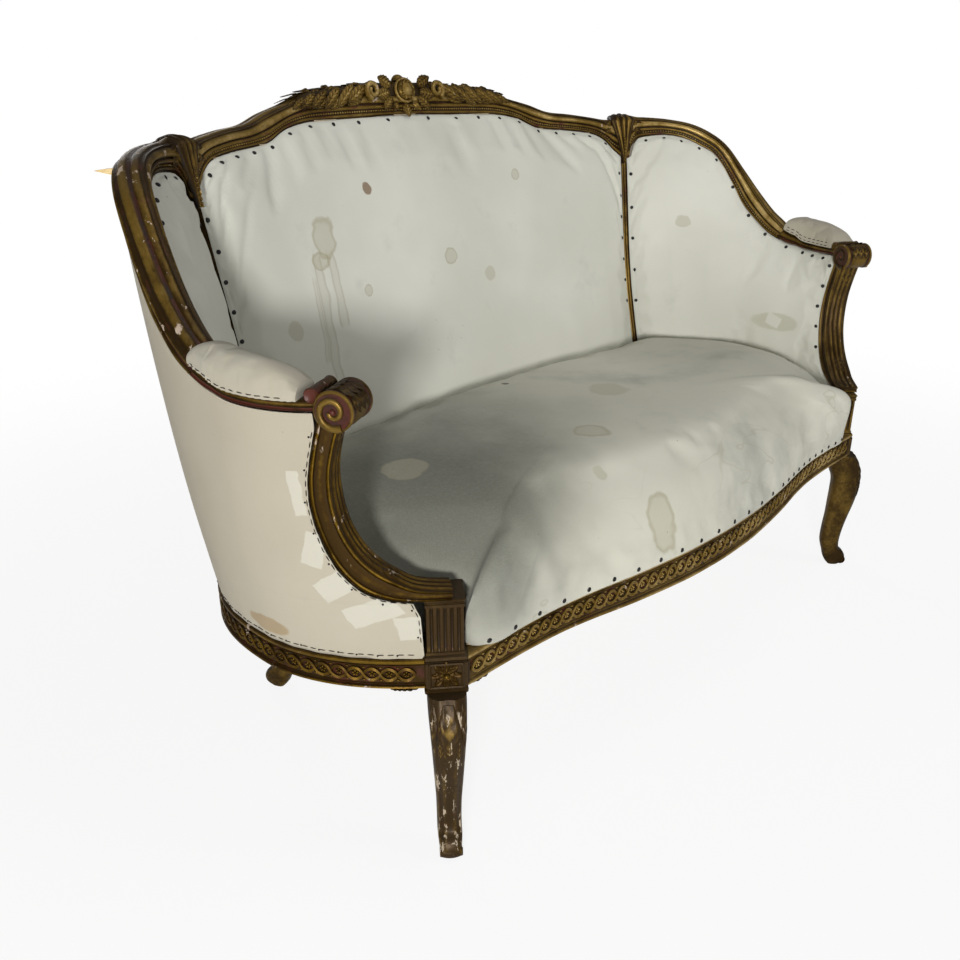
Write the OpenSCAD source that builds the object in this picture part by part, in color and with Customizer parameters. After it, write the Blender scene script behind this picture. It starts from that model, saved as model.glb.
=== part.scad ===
// Cabriole sofa: a carved show-wood frame around a sprung seat, an open muslin undercover tacked
// to the rebates of the frame, and five upholstered panels in one basket-shaped body.
// The front is towards -Y, the floor is z = 0.

/* [Plan of the body] */
// Half width of the body at the seat rail
plan_half_w = 724; // [640:1:800]
// Depth from the widest line to the middle of the back, at the seat rail
plan_back_d = 370; // [320:1:420]
// Depth of the ellipse that the sides follow in front of the widest line
plan_front_d = 398; // [360:1:430]
// How far each side has swung out at the top of the crest
side_flare = 56; // [20:1:90]
// How far the back has leaned out at the top of the crest
back_rake = 156; // [80:1:200]

/* [Heights] */
// Floor to the underside of the seat rails
leg_h = 267; // [220:1:300]
// Height of the seat rails
rail_h = 45; // [38:1:55]
// Seat rail top to the underside of the arm
arm_rise = 339; // [320:1:370]
// Seat rail top to the top of the crest, without its carving
crest_rise = 662; // [640:1:720]
// Seat rail top to the line where the seat meets the back
seat_line_rise = 112; // [106:1:118]
// Seat rail top to the crown of the seat
crown_rise = 152; // [140:1:165]

/* [Seat rails] */
// Thickness of the seat rails
rail_t = 32; // [26:1:40]
// Chamfer along the edges of the seat rails
rail_chamfer = 4; // [2:0.5:6]
// How far the middle of the front rail swells forward of its ends
front_swell = 45; // [30:1:55]
// How far the front rail's lip reaches below the other rails at its ends
front_lip = 4; // [2:1:6]
// How much deeper the front rail is in its middle
front_drop = 12; // [0:1:16]
// Play around a post that a rail is cut to fit
joint_gap = 0.2; // [0.1:0.05:0.4]

/* [Legs and posts] */
// Side of the square corner block with the rosette
block_w = 58; // [52:1:62]
// How far the corner block stands below and above the seat rail in all
block_over = 14; // [8:1:18]
// Side of the fluted post above the corner block
post_w = 48; // [44:1:50]
// Height of the fluted post with its cap, over the seat rail
post_h = 85; // [78:1:88]
// Height of the cap on the fluted post
cap_h = 8; // [5:1:10]
// How far the cap stands proud of the post
cap_over = 3; // [1:0.5:4]
// Depth of a flute in the post
flute_d = 2; // [1:0.5:3]
// Post centre to the foot of a front leg
front_foot_out = 39.5; // [32:0.5:44]
// Post centre to the foot of a back leg
back_foot_out = 12; // [6:1:20]
// Width of a leg at its knee
knee_w = 52; // [46:1:56]
// How far a leg's knee stands out from its foot line
knee_out = 26; // [20:1:30]
// Side of the block on a back leg
back_block_w = 46; // [42:1:50]

/* [Show-wood rails] */
// Thickness of the crest, wing and arm rails
show_t = 46; // [42:1:52]
// How far the moulded face swells in front of that
show_swell = 4; // [2:0.5:6]
// Depth of the front rebate, from the face to the tacking shoulder
rebate_d = 8; // [6:1:10]
// Width of the tacking shoulder
shoulder_w = 12; // [9:1:14]
// Depth of the rebate at the outside
outer_rebate_d = 4.4; // [3.6:0.2:6]
// Width of the bead on the inner stiles
stile_bead_w = 13; // [11:1:16]
// Radius of the arm scrolls
scroll_r = 27; // [24:1:28]
// How far a scroll stands out past the arm's outer face
scroll_over = 6; // [2:1:9]
// Depth of the arm supports
support_t = 50; // [46:1:54]
// Height of the hidden tacking rails
tack_rail_h = 40; // [32:1:44]

/* [Upholstery] */
// Thickness of the muslin undercover
muslin_t = 1.5; // [1:0.1:2]
// Clear space between layers that lie on each other
layer_gap = 0.4; // [0.3:0.1:0.6]
// Clear space between the edge of a fabric and the moulding or support beside it
panel_gap = 3; // [2:0.1:4]
// Thickness of the stuffing where a panel is tacked
stuffing_t = 3; // [2:0.5:5]
// How far the middle of the back panel swells
back_puff = 22; // [12:1:30]
// How far the middle of a wing panel swells
wing_puff = 18; // [10:1:24]
// How far the fabric of the back is drawn straight across the hollow of the frame
back_hollow = 62; // [40:1:70]
// How far the fabric of a wing is drawn straight across the hollow of the frame
wing_hollow = 46; // [30:1:52]
// Thickness of the arm pads
pad_t = 50; // [40:1:54]
// Width of the arm pads
pad_w = 60; // [50:1:64]
// How far the carving stands above the middle of the crest
carving_h = 27; // [20:1:30]
// Thickness of the carved clasps over the stiles
clasp_t = 7; // [5:1:10]
// Width of a clasp at its top
clasp_w = 54; // [44:1:60]
// Width of the webbing
web_w = 50; // [40:1:60]
// Thickness of the webbing
web_t = 1.6; // [1:0.1:2]
// Length of the sliver on the left wing
wedge_l = 26; // [10:1:30]
// Width of that sliver at its root
wedge_w = 12; // [8:1:14]

/* [Springs] */
// Diameter of the spring wire
wire_d = 3.4; // [2.6:0.2:4]
// Radius of a spring's end turns
spring_r = 40; // [34:1:44]
// Height of a spring between webbing and hessian
spring_h = 112; // [104:1:116]
// Pitch of the springs along the sofa
spring_pitch = 205; // [190:1:215]
// Pitch of the springs from front to back
spring_row = 160; // [140:1:170]

/* [Tacks] */
// Radius of a tack's head
tack_r = 4; // [3:0.5:5]
// Height of a tack's head
tack_h = 2.2; // [1.5:0.1:3]
// Pitch of the tacks along the front rail
seat_tack_pitch = 36; // [28:1:60]
// Pitch of the tacks along the back and wing panels
panel_tack_pitch = 48; // [36:1:70]

/* [Hidden] */

$fn = 48;
// Fullness of the back corners of the plan, where 2 is an ellipse
corner_fullness = 2.5;
rail_top = leg_h + rail_h;
crest_z = rail_top + crest_rise;
arm_z = rail_top + arm_rise;
seat_line_z = rail_top + seat_line_rise;
cap_top = rail_top + post_h;
// Overrun of a cutting shape past the face that it cuts
overrun = 5;
// Depth from the outer surface to the face of the show wood, and to its tacking shoulder
face_in = show_t;
shoulder_in = show_t - rebate_d;
// Rings along each of the shaped rails
crest_count = 48;
wing_count = 28;
arm_count = 14;
support_count = 22;
stile_count = 10;
// Angles round the body: the corner post, the scroll, the stile and back leg, the sliver
post_th = -34.9;
scroll_th = -23.4;
stile_th = 47.5;
back_th = 47;
wedge_th = 30;
// The way the corner posts face
post_face_th = -50;
carve_colour = "#8a6a2c";
inner_wood_colour = "#b08a58";
muslin_colour = "#d8d5ca";
hair_colour = "#5a4a3a";
web_colour = "#8d7b5c";
steel_colour = "#777777";
tack_colour = "#1a1a1a";
raw_wood_colour = "#e3c56f";

// General helpers

function spow(v, e) = sign(v) * pow(abs(v), e);
function unit(v) = v / norm(v);
function mix(a, b, t) = a + (b - a) * t;
function clamp01(t) = min(1, max(0, t));
function last(list) = list[len(list) - 1];

// Point at share t along a table of rows, on a smooth curve through all of them
function spline_at(rows, t) =
    let (n = len(rows) - 1, u = clamp01(t) * n, i = min(n - 1, floor(u)), f = u - i)
    let (a = rows[max(0, i - 1)], b = rows[i], c = rows[i + 1], d = rows[min(n, i + 2)])
    0.5 * ((2 * b) + (c - a) * f + (2 * a - 5 * b + 4 * c - d) * f * f + (3 * b - a - 3 * c + d) * f * f * f);
function spline(rows, count) = [for (k = [0:count]) spline_at(rows, k / count)];

// Value of a table of [key, value] rows with falling or rising keys
function between(rows, key, i = 0) =
    i >= len(rows) - 2 || (rows[i + 1][0] - key) * (rows[0][0] - last(rows)[0]) <= 0
        ? mix(rows[i][1], rows[i + 1][1], clamp01((key - rows[i][0]) / (rows[i + 1][0] - rows[i][0])))
        : between(rows, key, i + 1);

// The body: every rail and panel lies on this leaning, flaring basket

function half_w_at(z) = plan_half_w + side_flare * (z - rail_top) / crest_rise;
function back_d_at(z) = plan_back_d + back_rake * (z - rail_top) / crest_rise;
// Height for a share of the rise from the seat rail to the crest, or from the arm to the crest
function body_z(share) = rail_top + crest_rise * share;
function over_arm_z(share) = arm_z + (crest_z - arm_z) * share;

// Outward level normal at angle th, and the point there at height z, out by d
function body_normal(th, z) =
    let (a = half_w_at(z), b = back_d_at(z), e = 1 - 1 / corner_fullness)
    sin(th) >= 0
        ? unit([spow(cos(th), 2 * e) / a, spow(sin(th), 2 * e) / b, 0])
        : unit([cos(th) / a, sin(th) / plan_front_d, 0]);
function body_point(th, z, d = 0) =
    let (a = half_w_at(z), b = back_d_at(z), e = 2 / corner_fullness)
    let (flat = sin(th) >= 0
        ? [a * spow(cos(th), e), b * spow(sin(th), e), z]
        : [a * cos(th), plan_front_d * sin(th), z])
    flat + d * body_normal(th, z);

// Angle that a length takes up round the body at angle th, measured in by a depth
function turn_of(length, th, z, inside = 0) =
    length / norm(body_point(th + 1, z, -inside) - body_point(th, z, -inside));

// Closed solids from rings of points, with flat caps
function ring_faces(rings, n) = [
    for (k = [0:rings - 2], i = [0:n - 1])
        let (j = (i + 1) % n)
        each [[k * n + i, k * n + j, (k + 1) * n + i], [k * n + j, (k + 1) * n + j, (k + 1) * n + i]]
];
function cap_faces(first, n, flip) = [
    for (i = [1:n - 2]) flip ? [first, first + i + 1, first + i] : [first, first + i, first + i + 1]
];
// Signed volume of the solid, which tells the way that its rings turn
function volume_of(points, faces) =
    [for (f = faces) points[f[0]] * cross(points[f[1]], points[f[2]])] * [for (f = faces) 1];
module solid(points, faces) {
    turned = volume_of(points, faces) > 0 ? [for (f = faces) [f[2], f[1], f[0]]] : faces;
    polyhedron(points, turned);
}
module skin(rings) {
    n = len(rings[0]);
    count = len(rings);
    points = [for (r = rings) each r];
    faces = concat(ring_faces(count, n), cap_faces(0, n, true), cap_faces((count - 1) * n, n, false));
    solid(points, faces);
}

// A rail between two edge lines on the body. A row of edges is [low th, low z, high th, high z],
// a row of section is [share across, extra length across, depth inwards].
function rail_ring(edge, section) =
    let (low = body_point(edge[0], edge[1]), high = body_point(edge[2], edge[3]))
    let (across = unit(high - low))
    let (out = body_normal((edge[0] + edge[2]) / 2, (edge[1] + edge[3]) / 2))
    [for (s = section) mix(low, high, s[0]) + across * s[1] - out * s[2]];
module rail_between(edges, section, count) {
    skin([for (e = spline(edges, count)) rail_ring(e, section)]);
}

// Closed sheet or pad over a grid of columns and rows, from the points of its two faces
module pad_grid(cols, rows, near, far) {
    w = cols + 1;
    h = rows + 1;
    layer = w * h;
    points = concat(near, far);
    grid = [
        for (i = [0:cols - 1], j = [0:rows - 1])
            let (a = i * h + j, b = a + h, c = b + 1, d = a + 1)
            each [[a, b, c], [a, c, d], [layer + a, layer + c, layer + b], [layer + a, layer + d, layer + c]]
    ];
    rim = [
        for (i = [0:cols - 1], j = [0, rows])
            let (a = i * h + j, b = a + h)
            each j == 0
                ? [[a, layer + a, b], [b, layer + a, layer + b]]
                : [[a, b, layer + a], [b, layer + b, layer + a]]
    ];
    ends = [
        for (j = [0:rows - 1], i = [0, cols])
            let (a = i * h + j, d = a + 1)
            each i == 0
                ? [[a, d, layer + a], [d, layer + d, layer + a]]
                : [[a, layer + a, d], [d, layer + a, layer + d]]
    ];
    solid(points, concat(grid, rim, ends));
}

module on_side(left) {
    if (left) mirror([1, 0, 0]) children();
    else children();
}

// Outline of the show wood, as shares chosen along its curves

// Crest: angle and share of the crest's rise at its lower edge, then at its upper edge
crest_shares = [
    [90, 0.943, 90, 1.000], [85, 0.940, 85, 1.003], [79, 0.937, 80, 1.000], [75.8, 0.934, 76, 0.989],
    [72, 0.920, 73, 0.972], [68.4, 0.893, 69, 0.953], [65, 0.885, 65, 0.931], [60, 0.878, 60, 0.922],
    [55, 0.866, 55, 0.911], [52, 0.843, 51.5, 0.902], [50, 0.814, 49, 0.903], [48.6, 0.788, 47.4, 0.912]
];
crest_half = [for (r = crest_shares) [r[0], body_z(r[1]), r[2], body_z(r[3])]];
crest_edges = concat(
    [for (i = [len(crest_half) - 1:-1:1]) crest_half[i]],
    [for (r = crest_half) [180 - r[0], r[1], 180 - r[2], r[3]]]
);
// Wing rail: angle and share of the rise from the arm to the crest, inner edge then outer edge
wing_shares = [
    [47.0, 0.565, 47.2, 0.823], [46.0, 0.580, 46.0, 0.823], [45.4, 0.640, 44.6, 0.818],
    [44.0, 0.690, 43.0, 0.813], [41.0, 0.706, 40.6, 0.811], [36.0, 0.712, 35.1, 0.799],
    [31.0, 0.690, 28.8, 0.768], [26.5, 0.643, 23.4, 0.708], [21.8, 0.576, 19.0, 0.626],
    [17.1, 0.418, 14.2, 0.471], [13.1, 0.260, 10.2, 0.340], [9.3, 0.164, 6.3, 0.223],
    [6.2, 0.096, 3.8, 0.164], [3.4, 0.056, 2.0, 0.118]
];
wing_edges = [for (r = wing_shares) [r[0], over_arm_z(r[1]), r[2], over_arm_z(r[3])]];
// Arm rail: angle and share of the same rise, lower edge then upper edge
arm_shares = [
    [3.3, 0.055, 1.9, 0.116], [0.4, 0.024, -0.4, 0.082], [-4, 0.006, -4, 0.054], [-10, 0.000, -10, 0.044],
    [-16, 0.001, -16, 0.043], [-20.5, 0.006, -20.5, 0.048]
];
arm_edges = [for (r = arm_shares) [r[0], over_arm_z(r[1]), r[2], over_arm_z(r[3])]];
// Arm support: angle and share of the rise from the post's cap to the arm, rear edge then front edge
support_shares = [
    [-20.5, 0.965, -24.0, 0.965], [-18.8, 0.800, -22.4, 0.832], [-17.6, 0.643, -21.2, 0.690],
    [-17.4, 0.494, -21.0, 0.545], [-18.4, 0.337, -21.7, 0.404], [-20.3, 0.192, -23.5, 0.278],
    [-23.4, 0.078, -25.9, 0.188], [-27.4, 0.018, -28.9, 0.118], [-31.3, 0.004, -31.8, 0.068],
    [-36.4, 0.004, -36.6, 0.045]
];
function over_cap_z(share) = cap_top + (arm_z - cap_top) * share;
support_edges = [for (r = support_shares) [r[0], over_cap_z(r[1]), r[2], over_cap_z(r[3])]];
// Front end of the side covers: rear edge of the support, then of the post
post_side_th = post_th + turn_of(block_w / 2, post_th, rail_top);
side_end = concat(
    [for (e = spline(support_edges, support_count)) if (e[0] > post_side_th) [e[1], e[0]]],
    [[cap_top - cap_h, post_side_th], [rail_top, post_side_th]]
);
// Stile: angle at share of the rise from the seat rail to the crest
stile_shares = [[0.0, 47.0], [0.16, 47.4], [0.35, 48.2], [0.5, 48.2], [0.65, 47.8], [0.767, 47.5]];
stile_edges = [
    for (r = stile_shares)
        let (z = body_z(r[0]), turn = turn_of(stile_bead_w / 2, r[1], z)) [r[1] + turn, z, r[1] - turn, z]
];

// Section of the crest and wing rails, from the outer face round the back of the moulding
show_section = [
    [0.62, 0, 0], [0.93, 0, face_in * 0.2], [1, 0, face_in * 0.4], [1, 0, face_in * 0.82],
    [0.82, 0, face_in], [0.45, 0, face_in + show_swell], [0, 0, face_in - rail_chamfer / 4],
    [0, 0, shoulder_in], [0, -shoulder_w, shoulder_in],
    [0, -shoulder_w, outer_rebate_d], [0, 0, outer_rebate_d], [0, 0, 0]
];
arm_section = [
    [0.8, 0, 0], [1, 0, rail_chamfer], [1, 0, face_in - rail_chamfer], [0.8, 0, face_in],
    [0, 0, face_in], [0, 0, 0]
];
support_section = [
    [0.85, 0, 0], [1, 0, rail_chamfer], [1, 0, support_t - rail_chamfer], [0.7, 0, support_t],
    [0, 0, support_t], [0, 0, 0]
];
stile_out = outer_rebate_d + 2 * layer_gap;
stile_section = [
    [0, 0, face_in], [0.5, 0, face_in + show_swell], [1, 0, face_in], [1, 0, shoulder_in],
    [1, shoulder_w, shoulder_in], [1, shoulder_w, stile_out], [0, -shoulder_w, stile_out],
    [0, -shoulder_w, shoulder_in], [0, 0, shoulder_in]
];

// Posts and legs

post_out = [cos(post_face_th), sin(post_face_th), 0];
post_centre = body_point(post_th, rail_top, joint_gap * 2) - block_w / 2 * post_out;
back_out = body_normal(back_th, rail_top);
back_face_th = atan2(back_out.y, back_out.x);
back_centre = body_point(back_th, rail_top, -back_block_w / 2);
module at_post() {
    translate([post_centre.x, post_centre.y, 0]) rotate(post_face_th) children();
}
module at_back_post() {
    translate([back_centre.x, back_centre.y, 0]) rotate(back_face_th) children();
}
module upright_block(w, low, high) {
    translate([-w / 2, -w / 2, low]) cube([w, w, high - low]);
}
// Room for a post, to be cut from the rails that meet it
module post_room(low, high) {
    at_post() upright_block(block_w + 2 * joint_gap, low - overrun, high + overrun);
}
module back_post_room() {
    at_back_post() upright_block(back_block_w + 2 * joint_gap, leg_h - overrun, rail_top + overrun);
}

// Leg outline: share of the leg's height, outer edge and inner edge as shares of the knee's
// reach, width as a share of the knee's width
leg_shares = [
    [0.000, 0.30, -0.55, 0.45], [0.030, 0.75, -0.80, 0.56], [0.075, 0.80, -1.00, 0.62],
    [0.120, 0.55, -1.12, 0.66], [0.150, 0.20, -1.22, 0.66], [0.220, 0.12, -1.38, 0.66],
    [0.330, 0.25, -1.36, 0.68], [0.450, 0.50, -1.26, 0.74], [0.570, 0.80, -1.22, 0.80],
    [0.680, 0.98, -1.18, 0.86], [0.780, 1.00, -1.20, 0.92], [0.860, 0.90, -1.50, 0.97],
    [0.940, 0.62, -1.72, 1.00], [1.000, 0.30, -1.72, 1.00]
];
// Corner of a leg's section as a share of its width
leg_corner_share = 0.28;
function leg_ring(r, foot_out, top) =
    let (out = foot_out + r[1] * knee_out, back = foot_out + r[2] * knee_out, half = r[3] * knee_w / 2)
    let (c = half * 2 * leg_corner_share, z = r[0] * top)
    [
        [out, -half + c, z], [out, half - c, z], [out - c, half, z], [back + c, half, z],
        [back, half - c, z], [back, -half + c, z], [back + c, -half, z], [out - c, -half, z]
    ];
module leg(foot_out, top) {
    skin([for (r = leg_shares) leg_ring(r, foot_out, top)]);
}

block_low = leg_h - block_over * 0.8;
block_high = rail_top + block_over * 0.2;
module front_leg() {
    color(carve_colour) at_post() {
        union() {
            leg(front_foot_out, block_low + overrun);
            upright_block(block_w, block_low, block_high);
            difference() {
                upright_block(post_w, block_high - overrun, cap_top - cap_h);
                for (k = [-2:2]) {
                    translate([post_w / 2 + flute_d / 2, k * post_w / 6, block_high + flute_d * 2])
                        cylinder(r = flute_d * 1.5, h = post_h - cap_h - flute_d * 4);
                }
            }
            upright_block(post_w + 2 * cap_over, cap_top - cap_h - joint_gap, cap_top);
        }
    }
}
module back_leg() {
    color(carve_colour) at_back_post() {
        union() {
            leg(back_foot_out, block_low + overrun);
            upright_block(back_block_w, block_low, rail_top);
        }
    }
}
module rosette() {
    // An eight-petalled flower on a small disc
    color(carve_colour) at_post() translate([block_w / 2 + joint_gap, 0, (block_low + block_high) / 2])
        rotate([0, 90, 0]) {
            cylinder(r = block_w * 0.12, h = block_w * 0.09, $fn = 16);
            for (k = [0:7]) {
                rotate(k * 45) translate([block_w * 0.2, 0, 0])
                    cylinder(r = block_w * 0.075, h = block_w * 0.05, $fn = 14);
            }
        }
}

// Seat rails

// Share of the front swell at shares of the half length, from the middle to the post
front_shares = [
    [0, 1], [0.17, 0.93], [0.30, 0.75], [0.42, 0.55], [0.55, 0.25], [0.66, 0.07], [0.80, 0], [1, 0]
];
front_count = 40;
front_half = post_centre.x;
front_end_y = post_centre.y - block_w * 0.62;
function front_y(x) = front_end_y - front_swell * between(front_shares, clamp01(abs(x) / front_half));
function front_low(x) = leg_h - front_lip - front_drop * pow(cos(90 * clamp01(abs(x) / front_half)), 2);
// Ring of the front rail at x: a moulded face, and a lip in front of the step that takes the webbing
function front_ring(x) =
    let (y = front_y(x), low = front_low(x), c = rail_chamfer, step = y + rail_t / 2, rear = y + rail_t)
    [
        [x, y + c, low], [x, y, low + c], [x, y, rail_top - c], [x, y + c, rail_top],
        [x, rear, rail_top], [x, rear, leg_h], [x, step, leg_h], [x, step, low]
    ];
module front_seat_rail() {
    color(carve_colour) difference() {
        skin([for (k = [0:front_count]) front_ring(mix(-front_half, front_half, k / front_count))]);
        for (left = [false, true]) {
            on_side(left) post_room(front_low(0), rail_top);
        }
    }
}
rail_section = [
    [0, rail_chamfer, 0], [1, -rail_chamfer, 0], [1, 0, rail_chamfer],
    [1, 0, rail_t], [0, 0, rail_t], [0, 0, rail_chamfer]
];
module curved_rail(th_a, th_b, count) {
    skin([
        for (k = [0:count])
            let (th = mix(th_a, th_b, k / count)) rail_ring([th, leg_h, th, rail_top], rail_section)
    ]);
}
module side_seat_rail() {
    color(carve_colour) difference() {
        curved_rail(post_th, back_th, 26);
        post_room(leg_h, rail_top);
        back_post_room();
    }
}
module back_seat_rail() {
    color(carve_colour) difference() {
        curved_rail(back_th, 180 - back_th, 22);
        for (left = [false, true]) {
            on_side(left) back_post_room();
        }
    }
}

// Arms, wings and crest

scroll_z = arm_z + scroll_r * 0.15;
scroll_out = body_normal(scroll_th, arm_z);
scroll_at = body_point(scroll_th, scroll_z, scroll_over);
module at_scroll(grow) {
    // A level roll that points along the outward normal
    translate(scroll_at + scroll_out * grow)
        rotate([0, 0, atan2(scroll_out.y, scroll_out.x)]) rotate([0, -90, 0])
            cylinder(r = scroll_r + grow, h = show_t + 2 * scroll_over + 2 * grow);
}
module arm_rail() {
    color(carve_colour) union() {
        rail_between(arm_edges, arm_section, arm_count);
        at_scroll(0);
    }
}
module arm_support() {
    color(carve_colour) difference() {
        rail_between(support_edges, support_section, support_count);
        at_scroll(joint_gap);
    }
}
module wing_rail() {
    color(carve_colour) rail_between(wing_edges, show_section, wing_count);
}
module crest_rail() {
    color(carve_colour) rail_between(crest_edges, show_section, crest_count);
}
module back_stile() {
    color(carve_colour) rail_between(stile_edges, stile_section, stile_count);
}

// Carving on the crest: share of the carving's half length, share of its height
carving_shares = [
    [0, 1], [0.12, 0.95], [0.28, 0.52], [0.45, 0.46], [0.58, 0.60], [0.75, 0.38], [0.9, 0.18], [1, 0.08]
];
// Share of the crest's length that the carving covers
carving_span_share = 0.2;
module crest_carving() {
    steps = 24;
    color(carve_colour) skin([
        for (k = [0:steps])
            let (v = 2 * k / steps - 1, h = carving_h * between(carving_shares, abs(v)))
            let (g = layer_gap, edge = spline_at(crest_edges, 0.5 + v * carving_span_share / 2))
            rail_ring(edge, [
                [1, g, face_in * 0.42], [1, g + h * 0.7, face_in * 0.42], [1, g + h, face_in * 0.5],
                [1, g + h, face_in * 0.72], [1, g + h * 0.7, face_in * 0.8], [1, g, face_in * 0.8]
            ])
    ]);
}
// Clasp: share of the rise to the crest, share of its width
clasp_shares = [[0.775, 0.14], [0.80, 0.20], [0.83, 0.36], [0.865, 0.70], [0.89, 0.95], [0.905, 0.85]];
module crest_clasp() {
    color(carve_colour) skin([
        for (r = clasp_shares)
            let (z = body_z(r[0]), turn = turn_of(clasp_w * r[1] / 2, stile_th, z))
            let (rear = face_in + show_swell + layer_gap, front = rear + clasp_t * 0.8)
            rail_ring(
                [stile_th + turn, z, stile_th - turn, z],
                [[0, 0, rear], [0.25, 0, front], [0.75, 0, front], [1, 0, rear]]
            )
    ]);
}
// A raw sliver of wood that stands out of the left wing's crest
wedge_shares = [[0, 1], [0.4, 0.7], [1, 0.08]];
module crest_wedge() {
    color(raw_wood_colour) skin([
        for (r = wedge_shares)
            let (z = over_arm_z(0.73), w = wedge_w * r[1], turn = turn_of(w / 2, wedge_th, z))
            let (out = joint_gap + wedge_l * r[0], low = z - w / 2, high = z + w / 4)
            [
                body_point(wedge_th - turn, low, out), body_point(wedge_th + turn, low, out),
                body_point(wedge_th + turn, high, out), body_point(wedge_th - turn, high, out)
            ]
    ]);
}

// Hidden tacking rails behind the seat line
tack_low = seat_line_z - tack_rail_h;
tack_rail_out = outer_rebate_d * 2;
tack_section = [[0, 0, tack_rail_out], [1, 0, tack_rail_out], [1, 0, shoulder_in], [0, 0, shoulder_in]];
module tack_rail(th_a, th_b, count) {
    color(inner_wood_colour) skin([
        for (k = [0:count])
            let (th = mix(th_a, th_b, k / count)) rail_ring([th, tack_low, th, seat_line_z], tack_section)
    ]);
}
// Half of the stile with its shoulders, as an angle at height z
function stile_half_turn(z) =
    turn_of(stile_bead_w / 2 + shoulder_w + 2 * layer_gap, stile_at(z), z, shoulder_in);
module lower_back_rail() {
    side = stile_at(seat_line_z) + stile_half_turn(tack_low);
    tack_rail(side, 180 - side, 24);
}
module lower_wing_rail() {
    front_end = between(side_end, seat_line_z) + end_turn(seat_line_z) * 1.5;
    tack_rail(stile_at(tack_low) - stile_half_turn(tack_low), front_end, 20);
}

// Where the fabrics end

stile_line = [for (e = spline(stile_edges, stile_count)) [e[1], (e[0] + e[2]) / 2]];
function stile_at(z) = between(stile_line, z);
function side_turn(z) = turn_of(stile_bead_w / 2 + 2 * layer_gap, stile_at(z), z, face_in);
function end_turn(z) = turn_of(panel_gap * 1.6, scroll_th, z);
scroll_side_th = scroll_th + turn_of(scroll_r + joint_gap, scroll_th, arm_z);
function side_end_at(z) = max(between(side_end, z), scroll_side_th) + end_turn(z);
crest_line = [for (e = spline(crest_edges, crest_count)) [e[0], e[1]]];
wing_line = concat(
    [for (e = spline(wing_edges, wing_count)) [e[0], e[1]]],
    [for (e = spline(arm_edges, arm_count)) if (e[0] < last(wing_edges)[0]) [e[0], e[1]]]
);
panel_low = seat_line_z - tack_rail_h / 2;

// Hollow that drawn fabric spans at the seat line: angle, share of its depth
back_hollow_shares = [[stile_th, 0], [52, 0.25], [58, 0.55], [70, 0.88], [90, 1]];
wing_hollow_shares = [[-20, 0], [-10, 0.1], [5, 0.45], [23, 1], [36, 0.75], [stile_th, 0]];
function hollow_at(th) =
    let (turned = min(th, 180 - th))
    turned > stile_th
        ? back_hollow * between(back_hollow_shares, turned)
        : wing_hollow * between(wing_hollow_shares, turned);
// Share of a panel's swell, tight at its sides and top and loose where it goes down behind the seat
function swell_share(s, t) =
    (1 - pow(abs(2 * s - 1), 5)) * (t < 0.5 ? 0.6 + 0.8 * t : 1 - pow(2 * t - 1, 5));

function back_spot(s, t) =
    let (side = last(stile_line)[1] + side_turn(last(stile_line)[0]), th0 = mix(side, 180 - side, s))
    let (z = mix(panel_low, between(crest_line, th0) - panel_gap, t), at_z = stile_at(z) + side_turn(z))
    [mix(at_z, 180 - at_z, s), z];
function wing_spot(s, t) =
    let (th0 = mix(stile_at(arm_z) - side_turn(arm_z), side_end_at(arm_z), s))
    let (z = mix(panel_low, between(wing_line, th0) - panel_gap, t))
    [mix(stile_at(z) - side_turn(z), side_end_at(z), s), z];
// Point of a panel at shares s across and t up; depth is added to its rest on the shoulder
function back_at(s, t, depth, puff = 1) =
    let (spot = back_spot(s, t), swell = back_puff * swell_share(s, t) + hollow_at(spot[0]) * (1 - t))
    body_point(spot[0], spot[1], -(shoulder_in + layer_gap + depth + puff * swell));
function wing_at(s, t, depth, puff = 1) =
    let (spot = wing_spot(s, t), swell = wing_puff * swell_share(s, t) + hollow_at(spot[0]) * (1 - t))
    body_point(spot[0], spot[1], -(shoulder_in + layer_gap + depth + puff * swell));

// Grid lines, as shares of a panel, crowd towards its edges, where it turns down to its tacks
back_line_shares = [
    0, 0.015, 0.045, 0.1, 0.17, 0.25, 0.33, 0.42, 0.5, 0.58, 0.67, 0.75, 0.83, 0.9, 0.955, 0.985, 1
];
wing_line_shares = [0, 0.02, 0.05, 0.1, 0.19, 0.28, 0.37, 0.45, 0.52, 0.6, 0.7, 0.82, 0.92, 0.97, 1];
rise_line_shares = [0, 0.25, 0.5, 0.72, 0.88, 0.96, 1];
cover_depth = web_t + stuffing_t + 2 * layer_gap;
// Face of a panel at a depth, and its solid between two depths
function back_face(depth, puff = 1) =
    [for (s = back_line_shares, t = rise_line_shares) back_at(s, t, depth, puff)];
function wing_face(depth, puff = 1) =
    [for (s = wing_line_shares, t = rise_line_shares) wing_at(s, t, depth, puff)];
module back_layer(near, far) {
    pad_grid(len(back_line_shares) - 1, len(rise_line_shares) - 1, near, far);
}
module wing_layer(near, far) {
    pad_grid(len(wing_line_shares) - 1, len(rise_line_shares) - 1, near, far);
}
module back_cover() {
    color(muslin_colour) back_layer(back_face(cover_depth + muslin_t), back_face(cover_depth));
}
module back_stuffing() {
    color(hair_colour) back_layer(back_face(cover_depth - layer_gap), back_face(web_t + layer_gap, 0));
}
module wing_cover() {
    color(muslin_colour) wing_layer(wing_face(cover_depth + muslin_t), wing_face(cover_depth));
}
module wing_stuffing() {
    color(hair_colour) wing_layer(wing_face(cover_depth - layer_gap), wing_face(web_t + layer_gap, 0));
}
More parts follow.
